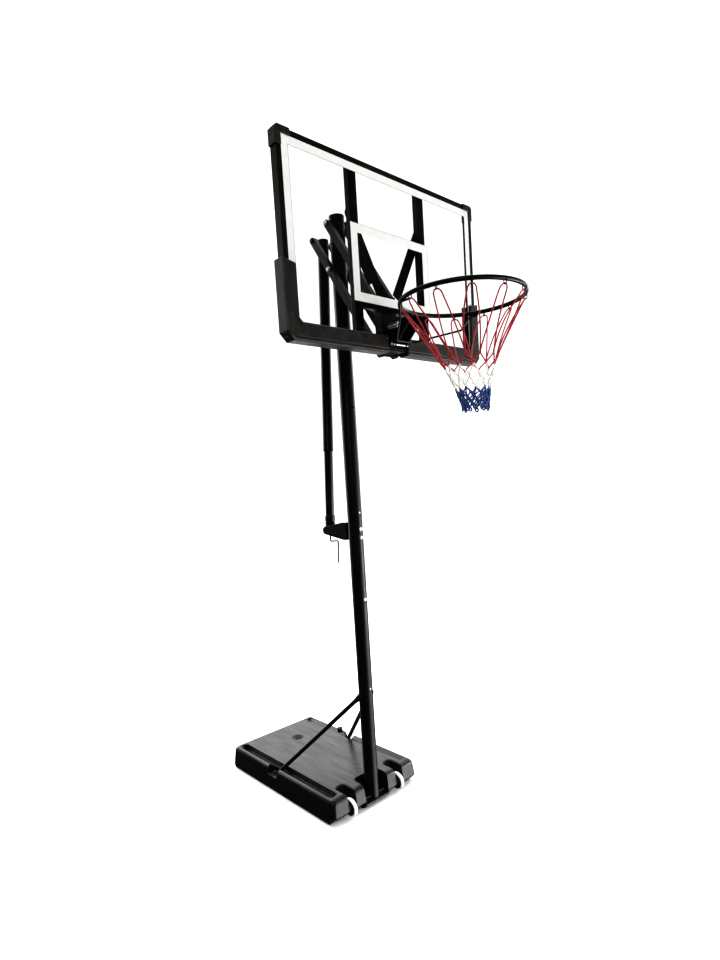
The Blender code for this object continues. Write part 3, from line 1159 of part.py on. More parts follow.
def rim_carrier(finish):
    """The moving plate on the hinge, with the neck that reaches forward to hold the ring."""
    top = RING_Z - RING_ROD_RADIUS - TOUCH_GAP
    bottom = SPRING_Z - 0.022
    plate = box("rim_carrier", (-CARRIER_HALF_WIDTH, CARRIER_FRONT_Y, bottom),
                (CARRIER_HALF_WIDTH, CARRIER_REAR_Y, top), finish)
    neck_front = gusset_front_y()
    knuckle = HINGE_RADIUS + KNUCKLE_WALL
    pieces = [box("neck", (-NECK_HALF_WIDTH, neck_front, top - CARRIER_PLATE),
                  (NECK_HALF_WIDTH, CARRIER_REAR_Y - 0.001, top), None)]
    for side in (-1, 1):
        gusset = [(CARRIER_FRONT_Y + 0.001, top - 0.001), (neck_front, top - 0.001),
                  (neck_front, gusset_front_z()), (HINGE_Y - knuckle, HINGE_Z),
                  (HINGE_Y - knuckle * 0.7, HINGE_Z - knuckle * 0.7), (HINGE_Y, HINGE_Z - knuckle),
                  (HINGE_Y + knuckle * 0.7, HINGE_Z - knuckle * 0.7), (HINGE_Y + knuckle, HINGE_Z),
                  (HINGE_Y + knuckle, HINGE_Z + 0.010), (CARRIER_FRONT_Y + 0.001, HINGE_Z + 0.030)]
        start = side * (NECK_HALF_WIDTH - CARRIER_PLATE)
        pieces.append(prism("gusset", gusset, "x", start, side * NECK_HALF_WIDTH, None))
    carve(plate, pieces, "UNION")
    pin_hole = rod("pin_hole", (-0.1, HINGE_Y, HINGE_Z), (0.1, HINGE_Y, HINGE_Z), HINGE_RADIUS + BORE_GAP, None)
    return carve(plate, [pin_hole] + [spring_slot(side * SPRING_X) for side in (-1, 1)])


def spring_slot(middle):
    """The cutter for an upright slot that lets the carrier tip over its spring bolt."""
    reach = SPRING_BOLT_RADIUS + 0.0015
    outline = rounded_rectangle(middle - reach, middle + reach, SPRING_Z - reach - 0.002,
                                SPRING_Z + reach + 0.009, reach - 0.0001)
    return prism("slot", outline, "y", CARRIER_FRONT_Y - 0.01, CARRIER_REAR_Y + 0.01, None)


def rim_ring(finish):
    """The ring of round bar, with the net's small wire loops welded under it."""
    centre = np.array([0.0, RING_CENTRE_Y, RING_Z])
    upwards = np.array([0.0, 0.0, 1.0])
    rings = []
    for step in range(48):
        turn = step * 2 * math.pi / 48
        outwards = np.array([math.cos(turn), math.sin(turn), 0.0])
        rings.append(circle(centre + outwards * RING_RADIUS, outwards, upwards, RING_ROD_RADIUS, 8))
    ring = mesh_object("rim_ring", *skin(rings, wrap=True), finish)
    return carve(ring, [net_hook(angle) for angle in hook_angles()], "UNION")


def hook_angles():
    """Angles of the net hooks round the ring, none behind the neck."""
    return [(step + 0.5) * 2 * math.pi / HOOK_COUNT for step in range(HOOK_COUNT)]


def hook_floor_z():
    """Height of the wire's centre at the lowest point of a hook."""
    return RING_Z - RING_ROD_RADIUS - HOOK_DROP


def net_hook(angle):
    """A wire loop in the ring's radial plane: down from the bar, round and up again."""
    outwards = np.array([math.cos(angle), math.sin(angle), 0.0])
    middle = np.array([0.0, RING_CENTRE_Y, hook_floor_z() + HOOK_RADIUS]) + outwards * RING_RADIUS
    path = []
    for step in range(5):
        turn = math.pi * step / 4
        sideways = outwards * HOOK_RADIUS * math.cos(turn)
        path.append(middle + sideways - np.array([0, 0, HOOK_RADIUS * math.sin(turn)]))
    rise = np.array([0, 0, RING_Z - middle[2] - 0.001])
    path = [path[0] + rise] + path + [path[-1] + rise]
    return swept_tube("hook", path, HOOK_WIRE_RADIUS, None, 5)


def ring_brace(finish):
    """One bent rod under the rim: across under the neck, out and up to the ring on both sides."""
    angle = math.radians(STRUT_RING_ANGLE)
    level_z = RING_Z - RING_ROD_RADIUS - STRUT_RADIUS - TOUCH_GAP
    foot_y, foot_z = ring_brace_foot()
    corners = []
    for side in (-1, 1):
        crossing = np.array([side * RING_RADIUS * math.cos(angle), RING_CENTRE_Y + RING_RADIUS * math.sin(angle),
                             level_z])
        tail = crossing - np.array([0.0, 0.016, 0.0])
        corner = crossing + np.array([0.0, 0.026, 0.0])
        bend = np.array([crossing[0] - side * 0.026, crossing[1] + 0.050, RING_Z - STRUT_BEND_DROP])
        foot = np.array([side * (NECK_HALF_WIDTH + 0.012), foot_y, foot_z])
        half = [tail, corner, bend, foot]
        corners += half if side < 0 else half[::-1]
    return swept_tube("ring_brace", rounded_path(corners, 0.018, 4), STRUT_RADIUS, finish, 6)


def ring_brace_foot():
    """Depth and height of the brace's crossing, where it lies against the gussets' sloping edges."""
    knuckle = HINGE_RADIUS + KNUCKLE_WALL
    rise = np.array([gusset_front_y() - (HINGE_Y - knuckle), gusset_front_z() - HINGE_Z])
    rise /= np.linalg.norm(rise)
    underneath = np.array([-rise[1], rise[0]])
    start = np.array([HINGE_Y - knuckle, HINGE_Z])
    return tuple(start + rise * 0.018 + underneath * (STRUT_RADIUS + TOUCH_GAP))


def gusset_front_y():
    """Depth of the carrier's front edge, at the ring."""
    return RING_REAR_Y - RING_ROD_RADIUS


def gusset_front_z():
    """Height of the foot of the gussets' front edges."""
    return RING_Z - RING_ROD_RADIUS - TOUCH_GAP - 0.012


def spring_bolt_hole(side):
    """The cutter for a spring bolt's hole in the panel and in the rim's mount."""
    return rod("bolt_hole", (side * SPRING_X, MOUNT_FRONT_Y - 0.01, SPRING_Z),
               (side * SPRING_X, PANEL_REAR_Y + 0.01, SPRING_Z), SPRING_BOLT_RADIUS + TOUCH_GAP, None)


def spring_bolt(name, side, finish):
    """A long bolt through the panel and the mount that holds one spring, its head in front."""
    head_y = CARRIER_FRONT_Y - TOUCH_GAP * 2 - SPRING_LENGTH
    nut_y = PANEL_REAR_Y + TOUCH_GAP
    return bolt(name, (side * SPRING_X, head_y, SPRING_Z), (side * SPRING_X, nut_y, SPRING_Z),
                SPRING_BOLT_RADIUS, finish, head=0.013)


def breakaway_spring(name, side, finish):
    """A compression spring round its bolt: one unbroken helix of round wire."""
    per_turn = 9
    start = CARRIER_FRONT_Y - TOUCH_GAP - SPRING_WIRE_RADIUS
    travel = SPRING_LENGTH - 2 * SPRING_WIRE_RADIUS
    count = SPRING_TURNS * per_turn
    path = []
    for step in range(count + 1):
        turn = 2 * math.pi * step / per_turn
        path.append((side * SPRING_X + SPRING_RADIUS * math.cos(turn), start - travel * step / count,
                     SPRING_Z + SPRING_RADIUS * math.sin(turn)))
    report_gap(name, np.array(path), per_turn, SPRING_WIRE_RADIUS)
    return swept_tube(name, path, SPRING_WIRE_RADIUS, finish, 5)


def report_gap(name, points, skip, radius):
    """Prints the least clear gap between a wound wire and itself, measured on its points."""
    least = math.inf
    for index in range(len(points) - skip):
        later = points[index + skip - 2:]
        least = min(least, float(np.linalg.norm(later - points[index], axis=1).min()))
    print(f"{name}: least gap to itself {1000 * (least - 2 * radius):.2f} mm")


def net_radius(share):
    """The net's radius at a share of its drop: wide at the ring, narrow at the foot."""
    return NET_BOTTOM_RADIUS + (NET_TOP_RADIUS - NET_BOTTOM_RADIUS) * (1 - share) ** 1.9


def knot_centre(row, turn):
    """A knot's centre: row 0 hangs in the hooks, the last row is the net's foot."""
    share = row / NET_ROWS
    top = hook_floor_z() + (HOOK_WIRE_RADIUS + TOUCH_GAP) * math.sqrt(2) + NET_CORD_WIDTH + TOUCH_GAP
    radius = RING_RADIUS if row == 0 else net_radius(share)
    return np.array([radius * math.cos(turn), RING_CENTRE_Y + radius * math.sin(turn),
                     top + (NET_BOTTOM_Z - top) * share])


def net(finish):
    """The net as one lattice: square knots on staggered rows, each joined to the two below it."""
    half = NET_CORD_WIDTH / math.sqrt(2)
    vertices, faces = [], []
    knots = {}
    for row in range(NET_ROWS + 1):
        for index in range(HOOK_COUNT):
            turn = hook_angles()[index] + (row % 2) * math.pi / HOOK_COUNT
            centre = knot_centre(row, turn)
            tangent = np.array([-math.sin(turn), math.cos(turn), 0.0])
            above, below = knot_centre(max(row - 1, 0), turn), knot_centre(min(row + 1, NET_ROWS), turn)
            up = (above - below) / np.linalg.norm(above - below)
            normal = np.cross(tangent, up)
            knots[row, index] = len(vertices)
            outwards_half = normal * NET_CORD_WIDTH / 2
            for offset in (up * half, tangent * half, -up * half, -tangent * half):
                vertices += [centre + offset - outwards_half, centre + offset + outwards_half]
    # Corners of a knot in order: top, right, bottom, left, each with an inner and an outer point
    for (row, index), first in knots.items():
        faces += [[first, first + 2, first + 4, first + 6],
                  [first + 7, first + 5, first + 3, first + 1]]
        if row == 0:
            faces += [[first, first + 1, first + 3, first + 2], [first + 6, first + 7, first + 1, first]]
        if row == NET_ROWS:
            faces += [[first + 2, first + 3, first + 5, first + 4],
                      [first + 4, first + 5, first + 7, first + 6]]
            continue
        right = knots[row + 1, index if row % 2 == 0 else (index + 1) % HOOK_COUNT]
        left = knots[row + 1, (index - 1) % HOOK_COUNT if row % 2 == 0 else index]
        faces += cord_sides((first + 2, first + 4), (right, right + 6))
        faces += cord_sides((first + 4, first + 6), (left + 2, left))
    return mesh_object("net", vertices, faces, finish)


def cord_sides(start, end):
    """The four faces of a cord between two corners of one knot and two of the next."""
    (a, b), (c, d) = start, end
    return [[a, a + 1, c + 1, c], [a + 1, b + 1, d + 1, c + 1], [b + 1, b, d, d + 1], [b, a, c, d]]


def build_stand():
    """Every sub-part, placed as photographed: board at its lowest, crank at rest."""
    start_empty_scene()
    finishes = palette()
    black, zinc = finishes["black_steel"], finishes["zinc_steel"]
    cap_plastic, pad_plastic = finishes["cap_plastic"], finishes["pad_plastic"]
    base_shell(finishes["base_plastic"])
    fill_cap(cap_plastic)
    wheel_axle(zinc)
    axle_nut(zinc)
    pole_sections(black)
    pole_cap(cap_plastic)
    pole_bolts(zinc)
    brace_bolts(zinc)
    jack_bracket(black)
    bracket_bolts(zinc)
    screw_jack(black, zinc)
    pole_pivots(zinc)
    upper_axis = lift_arms(black)
    board_axis = axis_empty("board_axis", (0, BOARD_PIVOT_Y, board_pivot_heights()[0]), parent=upper_axis)
    rim_axis = axis_empty("rim_axis", (0, HINGE_Y, HINGE_Z), parent=board_axis)
    carry(board_frame(finishes) + board_pivots(zinc), board_axis)
    carry([arm_channel(black), rim_mount(black), hinge_pin(zinc)], board_axis)
    for side, label in SIDES:
        wheel("wheel_" + label, side, finishes["wheel_plastic"])
        pole_brace("pole_brace_" + label, side, black)
        carry([bracket_leg("bracket_leg_" + label, side, black),
               corner_cap("corner_cap_" + label, side, cap_plastic),
               corner_pad("corner_pad_" + label, side, pad_plastic),
               spring_bolt("spring_bolt_" + label, side, zinc),
               breakaway_spring("spring_" + label, side, finishes["spring_steel"])], board_axis)
    carry([rim_carrier(black), rim_ring(black), ring_brace(black), net(finishes["net_cord"])], rim_axis)


build_stand()
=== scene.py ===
"""Looks of the portable basketball stand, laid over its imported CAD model.

Metres, +Z up, the floor at z = 0 under the pole. X runs along the backboard's width and -Y points to the
court. Every sub-assembly is a class that builds its own meshes and dresses them in its finishes.
"""

from __future__ import annotations

import json
import logging
import math
from dataclasses import dataclass, replace
from enum import Enum

import bmesh
import bpy
import numpy as np
from mathutils import Matrix, Vector

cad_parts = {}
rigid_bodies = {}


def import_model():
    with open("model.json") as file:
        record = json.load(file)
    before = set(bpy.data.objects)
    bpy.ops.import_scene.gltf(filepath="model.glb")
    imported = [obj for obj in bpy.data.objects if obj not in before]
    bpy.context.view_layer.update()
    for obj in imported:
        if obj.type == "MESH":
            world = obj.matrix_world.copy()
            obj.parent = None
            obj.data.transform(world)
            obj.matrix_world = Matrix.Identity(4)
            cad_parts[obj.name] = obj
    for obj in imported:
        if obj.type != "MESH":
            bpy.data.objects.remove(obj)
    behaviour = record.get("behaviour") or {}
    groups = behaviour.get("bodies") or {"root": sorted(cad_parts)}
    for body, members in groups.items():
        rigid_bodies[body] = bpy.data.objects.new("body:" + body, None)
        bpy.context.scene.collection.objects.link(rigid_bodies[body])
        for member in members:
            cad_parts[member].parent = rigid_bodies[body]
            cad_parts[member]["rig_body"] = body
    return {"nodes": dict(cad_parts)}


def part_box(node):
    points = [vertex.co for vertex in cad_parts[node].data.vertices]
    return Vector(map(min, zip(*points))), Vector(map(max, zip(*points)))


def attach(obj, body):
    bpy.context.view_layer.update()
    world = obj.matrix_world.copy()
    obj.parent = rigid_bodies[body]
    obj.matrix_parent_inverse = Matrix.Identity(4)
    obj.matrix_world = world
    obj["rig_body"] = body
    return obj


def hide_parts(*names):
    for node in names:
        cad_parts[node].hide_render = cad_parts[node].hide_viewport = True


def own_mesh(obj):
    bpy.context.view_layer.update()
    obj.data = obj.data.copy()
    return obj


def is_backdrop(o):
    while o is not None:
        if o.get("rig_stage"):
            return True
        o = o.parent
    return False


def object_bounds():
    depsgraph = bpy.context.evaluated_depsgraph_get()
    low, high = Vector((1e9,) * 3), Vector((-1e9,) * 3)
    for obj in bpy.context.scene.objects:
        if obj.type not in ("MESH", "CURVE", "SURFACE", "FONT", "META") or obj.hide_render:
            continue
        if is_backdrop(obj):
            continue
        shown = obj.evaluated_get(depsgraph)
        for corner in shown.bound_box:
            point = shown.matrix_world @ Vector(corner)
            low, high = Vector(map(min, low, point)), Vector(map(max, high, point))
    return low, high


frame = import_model()

Material = bpy.types.Material
Object = bpy.types.Object
Socket = bpy.types.NodeSocket
Point = tuple[float, float, float]
Pair = tuple[float, float]
Array = np.ndarray

LOG = logging.getLogger("stand")
MM = 0.001
TURN = 2 * math.pi
UP = (0.0, 0.0, 1.0)
NO_TRIANGLES = np.zeros((0, 3), int)

NOISE_ROUGHNESS = 0.55
BEVEL_SAMPLES = 4
EDGE_LEAN = (0.995, 0.80)
LEVEL_RISE = (0.55, 0.95)


class Side(Enum):
    """Near is the -X side and far the +X side."""

    NEAR = ("near", -1.0)
    FAR = ("far", 1.0)

    @property
    def label(self) -> str:
        """The word that ends a node's name."""
        return self.value[0]

    @property
    def sign(self) -> float:
        """The side's sign along X."""
        return self.value[1]


class Axis(Enum):
    """A world axis, by its number."""

    X = 0
    Y = 1
    Z = 2


# Colours and shader nodes


def linear(hex_colour: str) -> tuple[float, float, float, float]:
    """Turns an sRGB hex colour into linear red, green, blue and a full alpha.

    Args:
        hex_colour: A colour such as "#1a1a19".

    Returns:
        Four numbers: each channel c becomes c / 12.92 where it is small, or ((c + 0.055) / 1.055) ** 2.4.
    """
    channels = np.array([int(hex_colour[i:i + 2], 16) / 255 for i in (1, 3, 5)])
    curved = np.where(channels <= 0.04045, channels / 12.92, ((channels + 0.055) / 1.055) ** 2.4)
    return (float(curved[0]), float(curved[1]), float(curved[2]), 1.0)


def add_node(tree: bpy.types.NodeTree, kind: str, inputs: dict | None = None, **settings) -> bpy.types.Node:
    """Adds one node, sets it and links it.

    Args:
        tree: The node tree that gets it.
        kind: The node's type.
        inputs: Input name or number against a value, or a socket to link.
        **settings: Properties of the node itself.

    Returns:
        The new node.
    """
    node = tree.nodes.new(kind)
    for name, value in settings.items():
        setattr(node, name, value)
    for name, value in (inputs or {}).items():
        if isinstance(value, Socket):
            tree.links.new(value, node.inputs[name])
        else:
            node.inputs[name].default_value = value
    return node


@dataclass(frozen=True)
class Cloud:
    """A cloudy pattern: blotches of a size in metres, whose values low..high are drawn as start..end."""

    size: float
    detail: float
    low: float = 0.3
    high: float = 0.7
    start: float = 0.0
    end: float = 1.0

    def to(self, start: float, end: float) -> Cloud:
        """The same cloud, drawn from another start to another end."""
        return replace(self, start=start, end=end)


@dataclass(frozen=True)
class SurfaceNodes:
    """The node tree of one material, with the patterns that several finishes share."""

    made: Material
    tree: bpy.types.NodeTree
    shader: bpy.types.Node
    place: Socket

    @classmethod
    def start(cls, name: str) -> SurfaceNodes:
        """Makes a material that holds a Principled shader and its Object coordinates.

        Args:
            name: The material's name.

        Returns:
            The material's nodes.
        """
        made = bpy.data.materials.new(name)
        made.use_nodes = True
        tree = made.node_tree
        place = add_node(tree, "ShaderNodeTexCoord").outputs["Object"]
        return cls(made, tree, tree.nodes["Principled BSDF"], place)

    def stretched(self, scale: Point) -> Socket:
        """The Object coordinates, scaled apart on the three axes."""
        return add_node(self.tree, "ShaderNodeMapping", {"Vector": self.place, "Scale": scale}).outputs[0]

    def noise(self, size: float, detail: float, place: Socket | None = None) -> Socket:
        """Makes cloudy noise.

        Args:
            size: Width of its blotches, in metres.
            detail: How many finer layers it has.
            place: Coordinates to draw it in, or the Object coordinates.

        Returns:
            A value round 0.5.
        """
        return add_node(self.tree, "ShaderNodeTexNoise", {
            "Vector": place or self.place, "Scale": 1 / size, "Detail": detail,
            "Roughness": NOISE_ROUGHNESS}).outputs["Fac"]

    def spread(self, value: Socket, low: float, high: float, start: float = 0.0, end: float = 1.0) -> Socket:
        """Maps low..high to start..end and holds the ends."""
        inputs = {"Value": value, "From Min": low, "From Max": high, "To Min": start, "To Max": end}
        return add_node(self.tree, "ShaderNodeMapRange", inputs).outputs[0]

    def cloud(self, cloud: Cloud) -> Socket:
        """Draws a cloud."""
        pattern = self.noise(cloud.size, cloud.detail)
        return self.spread(pattern, cloud.low, cloud.high, cloud.start, cloud.end)

    def maths(self, operation: str, first: Socket | float, second: Socket | float = 0.0) -> Socket:
        """One sum on two values."""
        return add_node(self.tree, "ShaderNodeMath", {0: first, 1: second}, operation=operation).outputs[0]

    def product(self, first: Socket, second: Socket | float) -> Socket:
        """One value times the other."""
        return self.maths("MULTIPLY", first, second)

    def height_of(self, vector: Socket) -> Socket:
        """The Z of a vector."""
        return add_node(self.tree, "ShaderNodeSeparateXYZ", {0: vector}).outputs[2]

    def blend(self, share: Socket, first: Socket | str, second: Socket | str) -> Socket:
        """Mixes two colours, each a socket or a hex colour.

        Args:
            share: The second colour's share.
            first: The colour at 0.
            second: The colour at 1.

        Returns:
            The mixed colour.
        """
        pair = [linear(colour) if isinstance(colour, str) else colour for colour in (first, second)]
        inputs = {0: share, 6: pair[0], 7: pair[1]}
        return add_node(self.tree, "ShaderNodeMix", inputs, data_type="RGBA").outputs[2]

    def plain_normal(self) -> Socket:
        """The surface normal as it is."""
        return add_node(self.tree, "ShaderNodeNewGeometry").outputs["Normal"]

    def rounded_normal(self, radius: float) -> Socket:
        """The surface normal, rounded over edges by a radius."""
        return add_node(self.tree, "ShaderNodeBevel", {"Radius": radius}, samples=BEVEL_SAMPLES).outputs[0]

    def edges(self, radius: float) -> Socket:
        """Finds edges and corners by how far the rounded normal leans from the plain one.

        Args:
            radius: How far the edge reaches on each face.

        Returns:
            1 on an edge, falling to 0 on flat ground.
        """
        inputs = {0: self.rounded_normal(radius), 1: self.plain_normal()}
        lean = add_node(self.tree, "ShaderNodeVectorMath", inputs, operation="DOT_PRODUCT").outputs["Value"]
        return self.spread(lean, *EDGE_LEAN)

    def facing_up(self) -> Socket:
        """1 on level upper faces, falling to 0 on walls."""
        return self.spread(self.height_of(self.plain_normal()), *LEVEL_RISE)

    def relief(self, height: Socket, depth: float, under: Socket | None = None) -> Socket:
        """Bumps a surface.

        Args:
            height: The height pattern, 0 to 1.
            depth: Its depth in metres.
            under: The normal that it lies on, or the surface's own.

        Returns:
            The bumped normal.
        """
        inputs = {"Height": height, "Distance": depth, "Strength": 1.0}
        if under is not None:
            inputs["Normal"] = under
        return add_node(self.tree, "ShaderNodeBump", inputs).outputs[0]

    def finish(self, colour: Socket, roughness: Socket, normal: Socket, **sockets) -> Material:
        """Links the three patterns to the shader.

        Args:
            colour: The base colour.
            roughness: The roughness.
            normal: The normal.
            **sockets: Values of other sockets, with _ for a blank in a name.

        Returns:
            The finished material.
        """
        for name, pattern in (("Base Color", colour), ("Roughness", roughness), ("Normal", normal)):
            self.tree.links.new(pattern, self.shader.inputs[name])
        for name, value in sockets.items():
            self.shader.inputs[name.replace("_", " ")].default_value = value
        return self.made


# Finishes


@dataclass(frozen=True)
class PowderCoatedSteel:
    """Black polyester powder baked on steel tube and plate."""

    name: str = "satin_black_powder_coat"
    colour: str = "#0a0a09"
    clouded: str = "#121210"
    rubbed: str = "#4b4943"
    dusty: str = "#5d5a54"
    tone: Cloud = Cloud(0.16, 4, 0.35, 0.7)
    chips: Cloud = Cloud(9 * MM, 5, 0.52, 0.68)
    dust: Cloud = Cloud(0.05, 5, 0.40, 0.75, 0.0, 0.25)
    polish: Cloud = Cloud(0.07, 3, start=0.30, end=0.43)
    worn_share: float = 0.7
    worn_edge: float = 1.6 * MM
    rounding: float = 1 * MM
    pebble: float = 6 * MM
    pebble_depth: float = 0.05 * MM
    gloss: float = 0.3

    def build(self) -> Material:
        """Satin, slightly pebbled black. The pebble is drawn 6 mm wide, for the real 1 mm would not show.

        Returns:
            The material.
        """
        nodes = SurfaceNodes.start(self.name)
        colour = nodes.blend(nodes.cloud(self.tone), self.colour, self.clouded)
        worn = nodes.product(nodes.edges(self.worn_edge), nodes.cloud(self.chips))
        colour = nodes.blend(nodes.product(worn, self.worn_share), colour, self.rubbed)
        dust = nodes.product(nodes.facing_up(), nodes.cloud(self.dust))
        colour = nodes.blend(dust, colour, self.dusty)
        rounded = nodes.rounded_normal(self.rounding)
        normal = nodes.relief(nodes.noise(self.pebble, 2), self.pebble_depth, rounded)
        return nodes.finish(colour, nodes.cloud(self.polish), normal, Specular_IOR_Level=self.gloss)


@dataclass(frozen=True)
class BlowMouldedTank:
    """Blow-moulded black polyethylene, the skin of the water tank."""

    name: str = "blow_moulded_polyethylene"
    colour: str = "#121213"
    dusty: str = "#323231"
    scuffed: str = "#6a6967"
    dust: Cloud = Cloud(0.20, 4, 0.33, 0.70, 0.08, 0.82)
    scuffs: Cloud = Cloud(14 * MM, 5, 0.5, 0.66)
    scuffed_edge: float = 3 * MM
    streak: float = 20 * MM
    streak_scale: Point = (1.0, 0.12, 1.0)
    streak_range: Pair = (0.25, 0.75)
    streak_dust: Pair = (0.35, 1.0)
    roughness: Pair = (0.235, 0.465)
    rounding: float = 2.5 * MM
    grain: float = 3.5 * MM
    grain_depth: float = 0.06 * MM
    swell: float = 0.11
    swell_depth: float = 1.2 * MM
    gloss: float = 0.6
    refraction: float = 1.51

    def build(self) -> Material:
        """Waxy black: flow streaks run front to back, the top holds dust, and the edges are scuffed grey.

        Returns:
            The material.
        """
        nodes = SurfaceNodes.start(self.name)
        streak = nodes.noise(self.streak, 4, nodes.stretched(self.streak_scale))
        dust = nodes.product(nodes.facing_up(), nodes.cloud(self.dust))
        dust = nodes.product(dust, nodes.spread(streak, *self.streak_range, *self.streak_dust))
        colour = nodes.blend(dust, self.colour, self.dusty)
        scuff = nodes.product(nodes.edges(self.scuffed_edge), nodes.cloud(self.scuffs))
        colour = nodes.blend(scuff, colour, self.scuffed)
        roughness = nodes.spread(streak, *self.streak_range, *self.roughness)
        fine = nodes.relief(nodes.noise(self.grain, 3), self.grain_depth, nodes.rounded_normal(self.rounding))
        normal = nodes.relief(nodes.noise(self.swell, 2), self.swell_depth, fine)
        return nodes.finish(colour, roughness, normal, Specular_IOR_Level=self.gloss, IOR=self.refraction)


@dataclass(frozen=True)
class MouldedPlastic:
    """Injection-moulded plastic with a fine spark-eroded grain."""

    name: str
    colour: str
    clouded: str
    dirty: str = "#5a5043"
    dirt_share: float = 0.2
    roughness: Pair = (0.38, 0.52)
    scuffed: str = "#7a776f"
    tone: Cloud = Cloud(0.06, 4, 0.35, 0.65)
    dirt: Cloud = Cloud(18 * MM, 6, 0.50, 0.75)
    polish: Cloud = Cloud(40 * MM, 4)
    scuffs: Cloud = Cloud(8 * MM, 5, 0.5, 0.7, 0.0, 0.6)
    grain: float = 3 * MM
    grain_depth: float = 0.06 * MM
    edge: float = 1.5 * MM

    def build(self) -> Material:
        """Even satin plastic; the grain is drawn 3 mm wide, where the real 0.3 mm would not show.

        Returns:
            The material.
        """
        nodes = SurfaceNodes.start(self.name)
        colour = nodes.blend(nodes.cloud(self.tone), self.colour, self.clouded)
        colour = nodes.blend(nodes.cloud(self.dirt.to(0.0, self.dirt_share)), colour, self.dirty)
        scuff = nodes.product(nodes.edges(self.edge), nodes.cloud(self.scuffs))
        colour = nodes.blend(scuff, colour, self.scuffed)
        roughness = nodes.cloud(self.polish.to(*self.roughness))
        normal = nodes.relief(nodes.noise(self.grain, 3), self.grain_depth, nodes.rounded_normal(self.edge))
        return nodes.finish(colour, roughness, normal)


@dataclass(frozen=True)
class PlatedSteel:
    """Steel with a bright plating, spotted with rust where it has gone."""

    name: str
    colour: str
    shaded: str
    rust_share: float = 0.0
    roughness: Pair = (0.22, 0.40)
    bare: float = 1.0
    rusty: str = "#5b2f1a"
    tone: Cloud = Cloud(12 * MM, 4, 0.35, 0.65)
    film: Cloud = Cloud(10 * MM, 3)
    rust: Cloud = Cloud(7 * MM, 6, 0.62, 0.72)
    rust_growth: float = 0.25
    rust_roughness: float = 0.45
    rounding: float = 0.6 * MM
    grain: float = 1.6 * MM
    grain_depth: float = 0.03 * MM

    def build(self) -> Material:
        """Metal with a cloudy passivated film and small rust spots; rust is rough and not metallic.

        Returns:
            The material.
        """
        nodes = SurfaceNodes.start(self.name)
        colour = nodes.blend(nodes.cloud(self.tone), self.colour, self.shaded)
        spots = replace(self.rust, low=self.rust.low - self.rust_growth * self.rust_share)
        rust = nodes.cloud(spots.to(0.0, self.rust_share))
        colour = nodes.blend(rust, colour, self.rusty)
        film = nodes.cloud(self.film.to(*self.roughness))
        roughness = nodes.maths("ADD", film, nodes.product(rust, self.rust_roughness))
        rounded = nodes.rounded_normal(self.rounding)
        normal = nodes.relief(nodes.noise(self.grain, 4), self.grain_depth, rounded)
        metal = nodes.product(nodes.maths("SUBTRACT", 1.0, rust), self.bare)
        nodes.tree.links.new(metal, nodes.shader.inputs["Metallic"])
        return nodes.finish(colour, roughness, normal)


@dataclass(frozen=True)
class CastAcrylic:
    """Clear cast acrylic sheet."""

    name: str = "clear_cast_acrylic"
    colour: str = "#f6f8f8"
    shaded: str = "#eef2f2"
    tone: Cloud = Cloud(0.25, 3)
    haze: Cloud = Cloud(0.12, 5, 0.45, 0.75, 0.0, 0.012)
    swell: float = 0.18
    swell_depth: float = 0.10 * MM
    refraction: float = 1.49

    def build(self) -> Material:
        """Water clear with a trace of grey, polished, and hazed in soft patches by handling.

        Returns:
            The material.
        """
        nodes = SurfaceNodes.start(self.name)
        colour = nodes.blend(nodes.cloud(self.tone), self.colour, self.shaded)
        normal = nodes.relief(nodes.noise(self.swell, 2), self.swell_depth)
        haze = nodes.cloud(self.haze)
        return nodes.finish(colour, haze, normal, Transmission_Weight=1.0, IOR=self.refraction)


@dataclass(frozen=True)
class ScreenInk:
    """Ink screened on the panel."""

    name: str = "white_screen_ink"
    colour: str = "#c6c7c4"
    mottled: str = "#bebfbc"
    tone: Cloud = Cloud(30 * MM, 4)
    polish: Cloud = Cloud(20 * MM, 3, start=0.30, end=0.42)
    weave: float = 4 * MM
    weave_depth: float = 0.02 * MM

    def build(self) -> Material:
        """Even ink with a faint mottle, satin, with the weave of the screen drawn 4 mm wide.

        Returns:
            The material.
        """
        nodes = SurfaceNodes.start(self.name)
        colour = nodes.blend(nodes.cloud(self.tone), self.colour, self.mottled)
        normal = nodes.relief(nodes.noise(self.weave, 2), self.weave_depth)
        return nodes.finish(colour, nodes.cloud(self.polish), normal)


